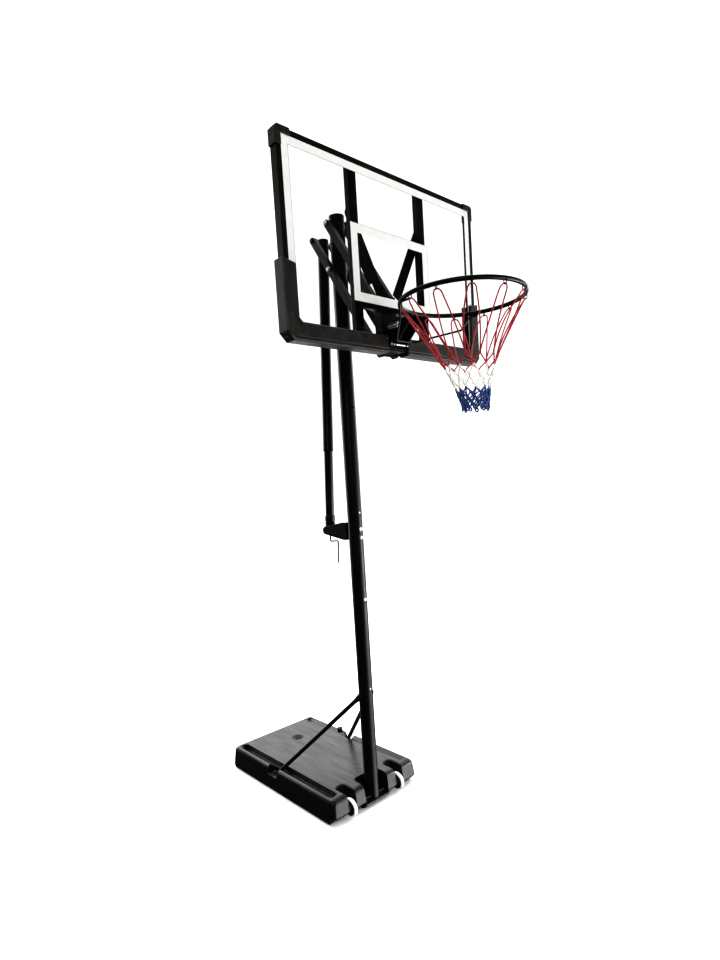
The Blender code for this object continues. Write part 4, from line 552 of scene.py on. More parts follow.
@dataclass(frozen=True)
class BraidedCord:
    """Braided polyester net cord, dyed in three bands."""

    name: str = "braided_polyester_cord"
    red: tuple[str, str] = ("#b81c2a", "#95131e")
    white: tuple[str, str] = ("#fbf9f4", "#ebe7df")
    blue: tuple[str, str] = ("#24519a", "#183a74")
    shadow: str = "#1c1716"
    white_from: float = 1.985
    blue_from: float = 1.905
    bleed: float = 2 * MM
    wander: Cloud = Cloud(30 * MM, 2, 0.0, 1.0, -12 * MM, 12 * MM)
    mottle: Cloud = Cloud(12 * MM, 4)
    braid: float = 7 * MM
    braid_depth: float = 0.35 * MM
    groove_spread: tuple[float, ...] = (-0.2, 0.7, 0.30, 0.0)
    roughness_spread: tuple[float, ...] = (-1.0, 1.0, 0.9, 0.72)
    sheen: float = 0.25

    def build(self) -> Material:
        """Dull fibre in two crossing lays, red above, white between and blue below, by height.

        The braid's height is the greater of sin(k u + 2 v') and sin(k u - 2 v'), with u along the cord in
        metres and v' the turn round it. It is drawn 7 mm long, because the real 2 mm would not show.

        Returns:
            The material.
        """
        nodes = SurfaceNodes.start(self.name)
        height = nodes.maths("ADD", nodes.height_of(nodes.place), nodes.cloud(self.wander))
        red, white, blue = (nodes.blend(nodes.cloud(self.mottle), *dye)
                            for dye in (self.red, self.white, self.blue))
        upper_share, lower_share = (nodes.spread(height, limit - self.bleed, limit + self.bleed)
                                    for limit in (self.white_from, self.blue_from))
        colour = nodes.blend(lower_share, blue, nodes.blend(upper_share, white, red))
        uv = add_node(nodes.tree, "ShaderNodeUVMap").outputs[0]
        route = add_node(nodes.tree, "ShaderNodeSeparateXYZ", {0: uv}).outputs
        length = nodes.product(route[0], TURN / self.braid)
        turn = nodes.product(route[1], 2 * TURN)
        lays = [nodes.maths("SINE", nodes.maths(way, length, turn)) for way in ("ADD", "SUBTRACT")]
        braid = nodes.maths("MAXIMUM", *lays)
        colour = nodes.blend(nodes.spread(braid, *self.groove_spread), colour, self.shadow)
        roughness = nodes.spread(braid, *self.roughness_spread)
        return nodes.finish(colour, roughness, nodes.relief(braid, self.braid_depth), Sheen_Weight=self.sheen)


@dataclass(frozen=True)
class FloorPaint:
    """Pale matt paint on the studio's floor."""

    name: str = "pale_studio_floor"
    colour: str = "#f4f4f3"
    clouded: str = "#f0f0ef"
    tone: Cloud = Cloud(2.0, 2)
    polish: Cloud = Cloud(0.5, 2, 0.0, 1.0, 0.75, 0.85)
    grain: float = 20 * MM
    grain_depth: float = 0.02 * MM
    gloss: float = 0.2

    def build(self) -> Material:
        """Nearly white, with a faint wide cloud.

        Returns:
            The material.
        """
        nodes = SurfaceNodes.start(self.name)
        colour = nodes.blend(nodes.cloud(self.tone), self.colour, self.clouded)
        normal = nodes.relief(nodes.noise(self.grain, 2), self.grain_depth)
        return nodes.finish(colour, nodes.cloud(self.polish), normal, Specular_IOR_Level=self.gloss)


class Finishes:
    """Every material of the stand, made once."""

    def __init__(self) -> None:
        """Builds each finish."""
        self.steel = PowderCoatedSteel().build()
        self.tank = BlowMouldedTank().build()
        self.cap = MouldedPlastic("moulded_black_polypropylene", "#151514", "#1d1d1b").build()
        self.pad = MouldedPlastic("moulded_guard_plastic", "#1b1a18", "#24221f",
                                  roughness=(0.34, 0.46)).build()
        self.tread = MouldedPlastic("moulded_tread_nylon", "#f1efe9", "#e2dfd6", dirty="#a59a88",
                                    dirt_share=0.4, roughness=(0.45, 0.65)).build()
        self.wheel_side = MouldedPlastic("moulded_wheel_web", "#171614", "#211f1c").build()
        self.hub = PlatedSteel("rusty_plated_hub", "#8d8a84", "#6d6a64", rust_share=0.9,
                               roughness=(0.35, 0.5)).build()
        self.zinc = PlatedSteel("bright_zinc_plate", "#eceae4", "#cfcdc6", rust_share=0.12,
                                roughness=(0.35, 0.55), bare=0.45).build()
        self.oiled = PlatedSteel("oiled_phosphated_rod", "#57504a", "#3a332e", rust_share=0.5,
                                 roughness=(0.28, 0.42)).build()
        self.chrome = PlatedSteel("chromed_spring_wire", "#d3d3d0", "#b5b5b2", roughness=(0.12, 0.22)).build()
        self.acrylic = CastAcrylic().build()
        self.ink = ScreenInk().build()
        # A grey ink that paints shade along the print's edges.
        self.dark_ink = ScreenInk("painted_shade_screen_ink", "#6f6f6c", "#62625f").build()
        self.cord = BraidedCord().build()


# Surfaces


@dataclass
class Surface:
    """Points with four-sided and three-sided faces; uv holds a pair for each four-sided face's corner."""

    points: Array
    quads: Array
    triangles: Array
    uv: Array
    finish: int = 0


def grid_faces(rows: int, columns: int, close_rows: bool,
               close_columns: bool) -> tuple[Array, Array]:
    """Faces of a grid of points, numbered row by row.

    Args:
        rows: Points down the grid.
        columns: Points across it.
        close_rows: Whether the last row joins the first.
        close_columns: Whether the last column joins the first.

    Returns:
        Corner numbers (n, 4), and the unwrapped (row, column) of each corner (n, 4, 2).
    """
    row, column = np.meshgrid(np.arange(rows - (not close_rows)), np.arange(columns - (not close_columns)),
                              indexing="ij")
    steps = np.array([(0, 0), (0, 1), (1, 1), (1, 0)])
    places = np.stack([row, column], -1).reshape(-1, 1, 2) + steps
    numbers = places[..., 0] % rows * columns + places[..., 1] % columns
    return numbers, places


def end_fans(rows: int, sides: int, centres: Array, starts: Array) -> Array:
    """Triangles that close both ends of skins.

    Args:
        rows: Rows of points along a skin.
        sides: Points round it.
        centres: Number of the middle point at each skin's two ends, (skins, 2).
        starts: Number of each skin's first point, (skins,).

    Returns:
        Corner numbers (n, 3), of every skin's first end and then of every skin's last end.
    """
    here = starts[:, None] + np.arange(sides)
    there = starts[:, None] + (np.arange(sides) + 1) % sides
    last = (rows - 1) * sides
    low = np.stack([np.broadcast_to(centres[:, :1], here.shape), there, here], -1)
    high = np.stack([np.broadcast_to(centres[:, 1:], here.shape), here + last, there + last], -1)
    return np.concatenate([low.reshape(-1, 3), high.reshape(-1, 3)])


def swept(paths: Array, radius: float, sides: int, reference: Array,
          closed: bool = False) -> Surface:
    """Round skins along paths: p(s) + r (cos t across + sin t up), across = direction x reference.

    Args:
        paths: Points, (paths, points, 3) or (points, 3).
        radius: Radius of the wire.
        sides: Points round the wire.
        reference: A direction that no path runs along: one for all or one for each path.
        closed: Whether each path joins its own start.

    Returns:
        One surface that holds every path's skin, with fans over open ends.
    """
    paths = np.asarray(paths, float)
    paths = paths if paths.ndim == 3 else paths[None]
    count, length, _ = paths.shape
    if closed:
        direction = np.roll(paths, -1, axis=1) - np.roll(paths, 1, axis=1)
    else:
        direction = np.gradient(paths, axis=1)
    direction /= np.linalg.norm(direction, axis=2, keepdims=True)
    reference = np.broadcast_to(np.asarray(reference, float).reshape(-1, 1, 3), (count, 1, 3))
    across = np.cross(direction, reference)
    across /= np.linalg.norm(across, axis=2, keepdims=True)
    up = np.cross(direction, across)
    turn = np.arange(sides) * TURN / sides
    ring = np.cos(turn)[:, None] * across[:, :, None] + np.sin(turn)[:, None] * up[:, :, None]
    points = (paths[:, :, None] + radius * ring).reshape(-1, 3)
    numbers, places = grid_faces(length, sides, closed, True)
    run = np.concatenate([[0], np.cumsum(np.linalg.norm(np.diff(paths[0], axis=0), axis=1))])
    run = np.append(run, run[-1] + (np.linalg.norm(paths[0, -1] - paths[0, 0]) if closed else 0.0))
    uv = np.stack([run[places[..., 0]], places[..., 1] / sides], -1)
    starts = np.arange(count) * length * sides
    quads = (numbers[None] + starts[:, None, None]).reshape(-1, 4)
    triangles = NO_TRIANGLES
    if not closed:
        triangles = end_fans(length, sides, len(points) + np.arange(count * 2).reshape(count, 2), starts)
        points = np.concatenate([points, paths[:, (0, -1)].reshape(-1, 3)])
    return Surface(points, quads, triangles, np.tile(uv, (count, 1, 1)))


def turned(profile: Array, base: Array, axis: Array, count: int, closed: bool = True,
           spread: Array | None = None) -> Surface:
    """A turned skin: base + h axis + r (cos t a + sin t b) for each (r, h) of the profile.

    Args:
        profile: Rows of (radius, height), off the axis.
        base: Point on the axis at height 0.
        axis: Direction of the axis.
        count: Points round it.
        closed: Whether the profile joins its own start; otherwise both ends get flat fans.
        spread: Factor on the radius for each of the count points, for lobes or flats, or one row of them
            for each profile point.

    Returns:
        The surface.
    """
    profile, base = np.asarray(profile, float), np.asarray(base, float)
    axis = np.asarray(axis, float) / np.linalg.norm(axis)
    seed = np.array([1.0, 0, 0]) if abs(axis[0]) < 0.9 else np.array([0, 1.0, 0])
    across = np.cross(seed, axis)
    across /= np.linalg.norm(across)
    up = np.cross(axis, across)
    turn = np.arange(count) * TURN / count
    ring = np.cos(turn)[:, None] * across + np.sin(turn)[:, None] * up
    factor = np.ones((1, count)) if spread is None else np.atleast_2d(spread)
    radii = (profile[:, :1] * factor)[..., None]
    points = (base + profile[:, 1][:, None, None] * axis + radii * ring).reshape(-1, 3)
    rows = len(profile)
    quads, places = grid_faces(rows, count, closed, True)
    uv = places[..., ::-1] / np.array([count, rows])
    triangles = NO_TRIANGLES
    if not closed:
        triangles = end_fans(rows, count, np.array([[len(points), len(points) + 1]]), np.zeros(1, int))
        points = np.concatenate([points, base + profile[[0, -1], 1][:, None] * axis])
    return Surface(points, quads, triangles, uv)


def quarter_arc(share: float, count: int) -> tuple[Array, Array]:
    """Cosines and sines of angles from 0 to a share of a quarter turn, for domes that end off their axis.

    Args:
        share: How much of the quarter turn is drawn.
        count: Points along it.

    Returns:
        The cosines and the sines.
    """
    turn = np.linspace(0, math.pi / 2 * share, count)
    return np.cos(turn), np.sin(turn)


def hexagon_spread(count: int) -> Array:
    """Factor from a hexagon's half width across flats to its edge: 1 / cos of the angle off the flat."""
    turn = np.arange(count) * TURN / count
    return 1 / np.cos((turn + TURN / 12) % (TURN / 6) - TURN / 12)


def rounded_path(corners: Array, radius: float, steps: int) -> Array:
    """A path through corners, each inner one rounded by a curve.

    Args:
        corners: Points (n, 3).
        radius: Radius of the rounding.
        steps: Points on each rounding, less one.

    Returns:
        Points (m, 3): each rounding blends (1 - s) entry + s exit, where entry and exit slide along the two
        straight runs.
    """
    before, corner, after = corners[:-2], corners[1:-1], corners[2:]
    arriving = (corner - before) / np.linalg.norm(corner - before, axis=1, keepdims=True)
    leaving = (after - corner) / np.linalg.norm(after - corner, axis=1, keepdims=True)
    turn = np.arccos(np.clip((arriving * leaving).sum(1), -1, 1))
    cut = (radius * np.tan(turn / 2))[:, None, None]
    share = np.linspace(0, 1, steps + 1)[None, :, None]
    entry = corner[:, None] - arriving[:, None] * cut * (1 - share)
    leave = corner[:, None] + leaving[:, None] * cut * share
    arcs = (entry * (1 - share) + leave * share).reshape(-1, 3)
    return np.concatenate([corners[:1], arcs, corners[-1:]])


# Pieces


def linked(name: str, data: bpy.types.ID) -> Object:
    """Puts a new object in the scene.

    Args:
        name: Its name.
        data: Its mesh, light or camera.

    Returns:
        The object.
    """
    made = bpy.data.objects.new(name, data)
    bpy.context.scene.collection.objects.link(made)
    return made


def mesh_object(name: str, surfaces: list[Surface], finishes: list[Material], sharp: float = 40.0) -> Object:
    """Joins surfaces in one object at the origin, faces outwards, smooth up to a sharp angle.

    Args:
        name: The object's name.
        surfaces: Its skins, each with the number of its finish.
        finishes: Its materials in order.
        sharp: Edges steeper than this many degrees stay sharp.

    Returns:
        The new object.
    """
    starts = np.cumsum([0] + [len(surface.points) for surface in surfaces])
    points = np.concatenate([surface.points for surface in surfaces])
    quads = np.concatenate([surface.quads + start for surface, start in zip(surfaces, starts)])
    triangles = np.concatenate([surface.triangles + start for surface, start in zip(surfaces, starts)])
    mesh = bpy.data.meshes.new(name)
    mesh.from_pydata(points.tolist(), [], quads.tolist() + triangles.tolist())
    flat_uv = np.concatenate([surface.uv.reshape(-1, 2) for surface in surfaces])
    uv = np.concatenate([flat_uv, np.zeros((len(triangles) * 3, 2))])
    mesh.uv_layers.new(name="UVMap").data.foreach_set("uv", uv.ravel())
    numbers = np.concatenate([np.full(len(surface.quads), surface.finish) for surface in surfaces]
                             + [np.full(len(surface.triangles), surface.finish) for surface in surfaces])
    mesh.polygons.foreach_set("material_index", numbers.astype(np.int32))
    for finish in finishes:
        mesh.materials.append(finish)
    body = bmesh.new()
    body.from_mesh(mesh)
    bmesh.ops.recalc_face_normals(body, faces=body.faces)
    body.to_mesh(mesh)
    body.free()
    mesh.shade_smooth()
    mesh.set_sharp_from_angle(angle=math.radians(sharp))
    return linked(name, mesh)


def take_place(piece: Object, node: str) -> None:
    """Lets a piece stand for a CAD node: it rides on its body, and the node is hidden.

    Args:
        piece: The visible piece.
        node: The CAD node.
    """
    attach(piece, frame["nodes"][node]["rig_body"])
    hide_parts(node)
    LOG.info("%s stands for %s", piece.name, node)


def rounded_copy(node: str, width: float, finish: Material, segments: int = 2,
                 angle: float = 32.0) -> None:
    """A merged copy of a CAD node, its flats rejoined and its edges rounded by a live bevel.

    Args:
        node: The CAD node.
        width: Width of the rounding.
        finish: Its material.
        segments: Facets across a rounded edge.
        angle: Edges flatter than this many degrees stay as they are.
    """
    merge_distance, flat_degrees = 1e-6, 0.8
    mesh = frame["nodes"][node].data.copy()
    mesh.materials.clear()
    mesh.materials.append(finish)
    body = bmesh.new()
    body.from_mesh(mesh)
    bmesh.ops.remove_doubles(body, verts=body.verts, dist=merge_distance)
    bmesh.ops.dissolve_limit(body, angle_limit=math.radians(flat_degrees), verts=body.verts, edges=body.edges)
    for face in body.faces:
        face.material_index = 0
    body.to_mesh(mesh)
    body.free()
    mesh.name = node + "_skin"
    mesh.shade_smooth()
    mesh.set_sharp_from_angle(angle=math.radians(angle))
    piece = linked(node + "_skin", mesh)
    bevel = piece.modifiers.new("rounded_edges", "BEVEL")
    bevel.width = width
    bevel.segments = segments
    bevel.limit_method = "ANGLE"
    bevel.angle_limit = math.radians(angle)
    weigh = piece.modifiers.new("flat_faces", "WEIGHTED_NORMAL")
    weigh.keep_sharp = True
    take_place(piece, node)


def node_box(node: str) -> tuple[Array, Array]:
    """Lowest and highest corner of a CAD node's box."""
    low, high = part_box(node)
    return np.array(low), np.array(high)


# Sub-assemblies


@dataclass
class SubAssembly:
    """A part of the stand, dressed in the shared finishes."""

    finishes: Finishes

    def coat(self, node: str, width: float, segments: int = 2, angle: float = 32.0) -> None:
        """Rounds a node's edges and powder-coats it, as rounded_copy does."""
        rounded_copy(node, width, self.finishes.steel, segments, angle)

    def plate(self, node: str, width: float) -> None:
        """Rounds a node's edges and zinc-plates it."""
        rounded_copy(node, width, self.finishes.zinc)

    def steel_piece(self, name: str, node: str, skins: list[Surface], sharp: float = 40.0) -> None:
        """Makes a black steel piece of skins, in its node's place."""
        take_place(mesh_object(name, skins, [self.finishes.steel], sharp), node)


@dataclass
class HexBolt:
    """A hexagon bolt with its washer and nut, laid in its CAD node's box.

    Its heights and widths are worked out from the shank's radius by the factors that end in _share.
    """

    node: str
    axis: Axis
    shank: float
    head_on_high: bool = False
    flats: float | None = None
    nut: bool = True
    count: int = 48
    flats_share: float = 3.2
    head_share: float = 1.3
    washer_share: float = 0.3
    nut_share: float = 1.15
    nut_seat_share: float = 1.3
    point_share: float = 0.4

    def hexagon(self, seat: Array, along: Array, height: float, flats: float) -> Surface:
        """A hexagon with a turned chamfer: the radius is the lesser of the flats and a cone at each height.

        Args:
            seat: The middle of its seat.
            along: The way it rises.
            height: Its height.
            flats: Its width across the flats.

        Returns:
            The surface.
        """
        heights = np.array([0.0, 0.12, 0.75, 0.9, 1.0]) * height
        cone = np.array([1.08, 1.16, 1.16, 1.06, 0.94]) * flats / 2
        radii = np.minimum(hexagon_spread(self.count)[None] * flats / 2, cone[:, None])
        profile = np.stack([np.ones(len(heights)), heights], -1)
        return turned(profile, seat, along, self.count, closed=False, spread=radii)

    def build(self, finish: Material) -> None:
        """Lays head, washer, shank and nut along the node's box, and takes its place.

        Args:
            finish: The bolt's material.
        """
        low, high = node_box(self.node)
        ends = np.stack([(low + high) / 2] * 2)
        ends[:, self.axis.value] = low[self.axis.value], high[self.axis.value]
        head_end, tail_end = ends[::-1] if self.head_on_high else ends
        along = (tail_end - head_end) / np.linalg.norm(tail_end - head_end)
        flats = self.flats or self.shank * self.flats_share
        head, washer = self.shank * self.head_share, self.shank * self.washer_share
        seat = head_end + along * (head + washer)
        disc = np.array([(flats * 0.66, 0.0), (flats * 0.66, washer * 0.7), (flats * 0.62, washer)])
        length = float(np.linalg.norm(tail_end - seat))
        rod = np.array([(self.shank, 0.0), (self.shank, length - self.shank * self.point_share),
                        (self.shank * 0.7, length - 0.1 * MM)])
        skins = [self.hexagon(head_end + along * head, -along, head, flats),
                 turned(disc, seat, -along, self.count, closed=False),
                 turned(rod, seat, along, self.count // 2, closed=False)]
        if self.nut:
            nut_seat = tail_end - along * self.shank * self.nut_seat_share
            skins.append(self.hexagon(nut_seat, along, self.shank * self.nut_share, flats))
        take_place(mesh_object(self.node + "_set", skins, [finish], 30), self.node)


@dataclass
class Fasteners(SubAssembly):
    """Every bolt and screw of the stand."""

    joint_shank: float = 4.0 * MM
    pivot_shank: float = 5.0 * MM
    spring_shank: float = 3.5 * MM
    spring_bolt_flats: float = 13 * MM
    drive_screw_heights: Pair = (1.432, 0.580)
    drive_screw_radius: float = 5 * MM
    drive_screw_dome: float = 2.4 * MM
    drive_screw_sunk: float = 0.4 * MM
    pole_radius: float = 35.0 * MM

    def build(self) -> None:
        """Bolts across the pole, through the arms, into the base and through the springs."""
        zinc, steel = self.finishes.zinc, self.finishes.steel
        HexBolt("pole_bolt_lower", Axis.Y, self.joint_shank).build(zinc)
        HexBolt("pole_bolt_upper", Axis.Y, self.joint_shank).build(self.finishes.oiled)
        for label in ("lower", "upper"):
            HexBolt("bracket_bolt_" + label, Axis.Y, self.joint_shank).build(zinc)
            HexBolt("pole_pivot_bolt_" + label, Axis.X, self.pivot_shank).build(zinc)
            HexBolt("board_pivot_bolt_" + label, Axis.X, self.pivot_shank).build(zinc)
        HexBolt("brace_pole_bolt", Axis.X, self.pivot_shank).build(steel)
        for side in Side:
            HexBolt("brace_screw_" + side.label, Axis.Z, self.pivot_shank, head_on_high=True,
                    nut=False).build(steel)
            HexBolt("spring_bolt_" + side.label, Axis.Y, self.spring_shank,
                    flats=self.spring_bolt_flats).build(zinc)
        self.drive_screws()

    def drive_screws(self) -> None:
        """Two small domed screws in the pole's front: radius r cos t, height h sin t."""
        cosines, sines = quarter_arc(0.94, 6)
        dome = np.stack([self.drive_screw_radius * cosines, self.drive_screw_dome * sines], -1)
        front = -self.pole_radius + self.drive_screw_sunk
        skins = [turned(dome, (0, front, height), (0, -1, 0), 32, closed=False)
                 for height in self.drive_screw_heights]
        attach(mesh_object("pole_drive_screws", skins, [self.finishes.zinc]), "stand")


@dataclass
class Base(SubAssembly):
    """The moulded tank with its cap, axle and wheels."""

    rounding: float = 8.0 * MM
    wheel_radius: float = 44.0 * MM
    rim_radius: float = 44.0 * MM * 0.80
    tyre_half: float = 9.0 * MM
    crown_fall: float = 1.6 * MM
    tread_groove: float = 0.7 * MM
    hub_radius: float = 15.0 * MM
    hub_half: float = 23.0 * MM
    bore: float = 5.4 * MM
    plug_place: Point = (0.256, 0.528, 0.116)
    plug_radius: float = 15.0 * MM

    def build(self) -> None:
        """Dresses the tank and makes its wheels."""
        self.plug()
        rounded_copy("base", self.rounding, self.finishes.tank, 5, 50)
        rounded_copy("base_fill_cap", 0.8 * MM, self.finishes.cap, 3)
        rounded_copy("wheel_axle", 0.6 * MM, self.finishes.steel)
        rounded_copy("axle_push_nut", 0.5 * MM, self.finishes.steel)
        for side in Side:
            self.wheel(side)

    def plug(self) -> None:
        """A ribbed air plug beside the far brace: 12 lobes of 4 % on a dome that is 22 mm tall."""
        cosines, sines = quarter_arc(0.93, 8)
        dome = np.stack([self.plug_radius * (0.72 + 0.28 * cosines), 17 * MM + 5 * MM * sines], -1)
        run = np.concatenate([[(self.plug_radius, -12 * MM), (self.plug_radius, 2 * MM)], dome])
        count, lobes = 96, 12
        ribs = 1 + 0.04 * np.cos(np.arange(count) * TURN * lobes / count)
        skin = turned(run, self.plug_place, UP, count, closed=False, spread=ribs)
        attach(mesh_object("tank_air_plug", [skin], [self.finishes.cap]), "stand")

    def wheel(self, side: Side) -> None:
        """A wheel in three turned skins: a crowned tread with two grooves, dished webs and a hub sleeve.

        Args:
            side: The wheel's side.
        """
        node = "wheel_" + side.label
        low, high = node_box(node)
        half, rim, hub_edge, end = self.tyre_half, self.rim_radius, self.hub_radius, self.hub_half
        across = np.linspace(-1, 1, 15)
        grooved = (np.abs(across) > 0.2) * (np.abs(across) < 0.4)
        crown = self.wheel_radius - self.crown_fall * across ** 4 - self.tread_groove * grooved
        tread = [(rim, -half + 1 * MM), (rim + 2 * MM, -half)]
        tread += list(zip(crown, across * half * 0.98))
        tread += [(rim + 2 * MM, half), (rim, half - 1 * MM)]
        disc = [(hub_edge - 1 * MM, 8 * MM), (hub_edge + 4 * MM, 7 * MM), (rim - 5 * MM, 9 * MM),
                (rim - 2 * MM, half + 0.6 * MM), (rim + 1.2 * MM, half + 0.6 * MM),
                (rim + 1.2 * MM, half - 2 * MM)]
        web = [(radius, -height) for radius, height in disc] + disc[::-1]
        sleeve = [(self.bore, end), (hub_edge - 1 * MM, end), (hub_edge, end - 1 * MM)]
        hub = [(radius, -height) for radius, height in sleeve] + sleeve[::-1]
        skins = [turned(np.array(run), (low + high) / 2, (1, 0, 0), 64) for run in (tread, web, hub)]
        for number, skin in enumerate(skins):
            skin.finish = number
        made = mesh_object("transport_" + node, skins,
                           [self.finishes.tread, self.finishes.wheel_side, self.finishes.hub], 35)
        take_place(made, node)


@dataclass
class Pole(SubAssembly):
    """Three tube sections, the cap, the braces and the jack's bracket."""

    radius: float = 35.0 * MM
    wall: float = 2.0 * MM
    lip: float = 0.8 * MM
    gap: float = 0.3 * MM
    shoulder: float = 1.2 * MM
    neck_run: float = 4 * MM
    round_count: int = 96

    def section(self, node: str, spigot_from: float | None) -> None:
        """One tube: its rims are rounded, and a lower one narrows to its spigot.

        Args:
            node: The CAD node.
            spigot_from: The height where the spigot starts, or None for a plain tube.
        """
        low, high = node_box(node)
        bottom, top = float(low[2]), float(high[2])
        outer, inner, lip = self.radius, self.radius - self.wall, self.lip
        run = [(inner, bottom), (outer - lip, bottom), (outer, bottom + lip)]
        if spigot_from is None:
            run += [(outer, top - lip), (outer - lip, top), (inner, top)]
        else:
            neck = inner - self.gap
            run += [(outer, spigot_from - self.shoulder), (outer - self.shoulder, spigot_from),
                    (neck, spigot_from), (neck, top), (neck - self.wall, top),
                    (neck - self.wall, spigot_from - self.neck_run), (inner, spigot_from - 2 * self.neck_run)]
        tube = turned(np.array(run), (0, 0, 0), UP, self.round_count)
        self.steel_piece(node + "_tube", node, [tube])

    def cap(self) -> None:
        """The domed cap: a plug in the tube, and a rim as wide as the tube under a flat dome."""
        cosines, sines = quarter_arc(0.95, 10)
        dome = np.stack([self.radius * cosines, self.gap + 2 * MM + 4.2 * MM * sines], -1)
        plug = self.radius - self.wall - self.gap
        foot = [(plug * 0.9, -16 * MM), (plug, -13 * MM), (plug, self.gap), (self.radius, self.gap)]
        run = np.concatenate([foot, dome])
        skin = turned(run, (0, 0, float(node_box("pole_top")[1][2])), UP, 64, closed=False)
        take_place(mesh_object("pole_cap_dome", [skin], [self.finishes.cap]), "pole_cap")

    def build(self) -> None:
        """Makes the tubes and the cap, and dresses braces and bracket."""
        for node, upper in (("pole_bottom", "pole_middle"), ("pole_middle", "pole_top")):
            self.section(node, float(node_box(upper)[0][2]) - self.gap)
        self.section("pole_top", None)
        self.cap()
        for side in Side:
            self.coat("pole_brace_" + side.label, 0.5 * MM, 2, 40)
        self.coat("jack_bracket", 0.8 * MM)


@dataclass
class ScrewJack(SubAssembly):
    """The lifting jack: two tubes one over the other, the push tube, the screw and its crank."""

    foot: Point = (0.0, 0.187, 1.345)
    direction: Point = (0.0, -0.06252869, 0.99804317)
    lower_radius: float = 21.5 * MM
    upper_radius: float = 26.0 * MM
    wall: float = 2.0 * MM
    collar_radius: float = 25 * MM
    collar_length: float = 90 * MM
    groove_places: tuple[float, ...] = (0.33, 0.5, 0.67)
    groove_depth: float = 2.5 * MM
    screw_hole: float = 7.4 * MM
    head_length: float = 36 * MM
    screw_low: float = -24 * MM
    screw_high: float = 876 * MM
    thread_from: float = 0.06
    thread_pitch: float = 4 * MM
    thread_depth: float = 0.8 * MM
    screw_radius: float = 7 * MM
    crank_radius: float = 4.0 * MM
    crank_reach: float = 50 * MM
    crank_drop: float = 38 * MM
    grip_length: float = 115 * MM
    crank_bend: float = 12 * MM

    def reach(self, node: str) -> Pair:
        """Measures a node's mesh along the jack's axis.

        Args:
            node: The CAD node.

        Returns:
            Its lowest and its highest distance from the foot pivot.
        """
        mesh = frame["nodes"][node].data
        points = np.empty(len(mesh.vertices) * 3, np.float32)
        mesh.vertices.foreach_get("co", points)
        run = (points.reshape(-1, 3) - np.array(self.foot)) @ np.array(self.direction)
        return float(run.min()), float(run.max())

    def build(self) -> None:
        """Makes the tubes, the pin, the screw and the crank."""
        self.lower()
        self.upper()
        self.plate("jack_head_pin", 0.6 * MM)
        self.plate("jack_push_tube", 0.5 * MM)
        self.screw()

    def lower(self) -> None:
        """The lower tube in its grooved collar, with the two pivot stubs."""
        low, high = self.reach("jack_foot_tube")
        collar, r, bore = self.collar_radius, self.lower_radius, self.screw_hole
        top = low + self.collar_length
        run = [(bore, low), (collar - 3 * MM, low), (collar, low + 4 * MM)]
        for share in self.groove_places:
            height = low + (top - low) * share
            floor = collar - self.groove_depth
            run += [(collar, height - 3 * MM), (floor, height - 1 * MM), (floor, height + 1 * MM),
                    (collar, height + 3 * MM)]
        run += [(collar, top - 2 * MM), (collar - 2 * MM, top), (r, top + 1 * MM), (r, high - 0.6 * MM),
                (r - 0.6 * MM, high), (r - self.wall, high), (r - self.wall, top), (bore, top)]
        stub = np.array([(5 * MM, 15 * MM), (5 * MM, 35 * MM), (4 * MM, 37 * MM)])
        skins = [turned(np.array(run), self.foot, self.direction, 64)]
        skins += [turned(stub, self.foot, (side.sign, 0, 0), 32, closed=False) for side in Side]
        self.steel_piece("jack_lower_tube", "jack_foot_tube", skins)

    def upper(self) -> None:
        """The sliding tube with its rolled foot and domed head."""
        low, high = self.reach("jack_upper_tube")
        r, bore = self.upper_radius, self.lower_radius + 0.6 * MM
        run = [(bore, high - self.head_length), (bore, low), (r - 1.5 * MM, low), (r, low + 1.5 * MM),
               (r, low + 7 * MM), (r - 0.8 * MM, low + 9 * MM), (r - 0.8 * MM, high - 5 * MM),
               (r - 2.2 * MM, high - 1.2 * MM), (r - 5 * MM, high)]
        skin = turned(np.array(run), self.foot, self.direction, 64, closed=False)
        self.steel_piece("jack_sliding_tube", "jack_upper_tube", [skin])

    def screw(self) -> None:
        """The screw, threaded as radius r - d |sin| over its pitch, and the bent crank below it."""
        low, high, r = self.screw_low, self.screw_high, self.screw_radius
        heights = np.arange(self.thread_from, high - 2 * MM, 1 * MM)
        thread = r - self.thread_depth * np.abs(np.sin(heights * math.pi / self.thread_pitch))
        run = np.concatenate([[(r, low), (r, self.thread_from - 2 * MM)], np.stack([thread, heights], -1),
                              [(r - self.thread_depth, high - 1 * MM), (r - 2 * MM, high)]])
        along = np.array(self.direction)
        start = np.array(self.foot) + along * (low + 3 * MM)
        elbow = start - along * self.crank_drop
        corner = elbow + np.array([self.crank_reach, 0, 0])
        corners = np.array([start, elbow, corner, corner - along * self.grip_length])
        path = rounded_path(corners, self.crank_bend, 8)
        skins = [turned(run, self.foot, self.direction, 24, closed=False),
                 swept(path, self.crank_radius, 16, np.array([0.0, 1.0, 0.06]))]
        skins[1].finish = 1
        made = mesh_object("jack_screw_crank", skins, [self.finishes.zinc, self.finishes.oiled])
        take_place(made, "jack_screw_and_crank")


@dataclass
class LiftArms(SubAssembly):
    """Both pairs of parallel arms."""

    rounding: float = 2.0 * MM

    def build(self) -> None:
        """Dresses the four arms."""
        for side in Side:
            for level in ("upper", "lower"):
                self.coat(f"{level}_arm_{side.label}", self.rounding, 3, 40)


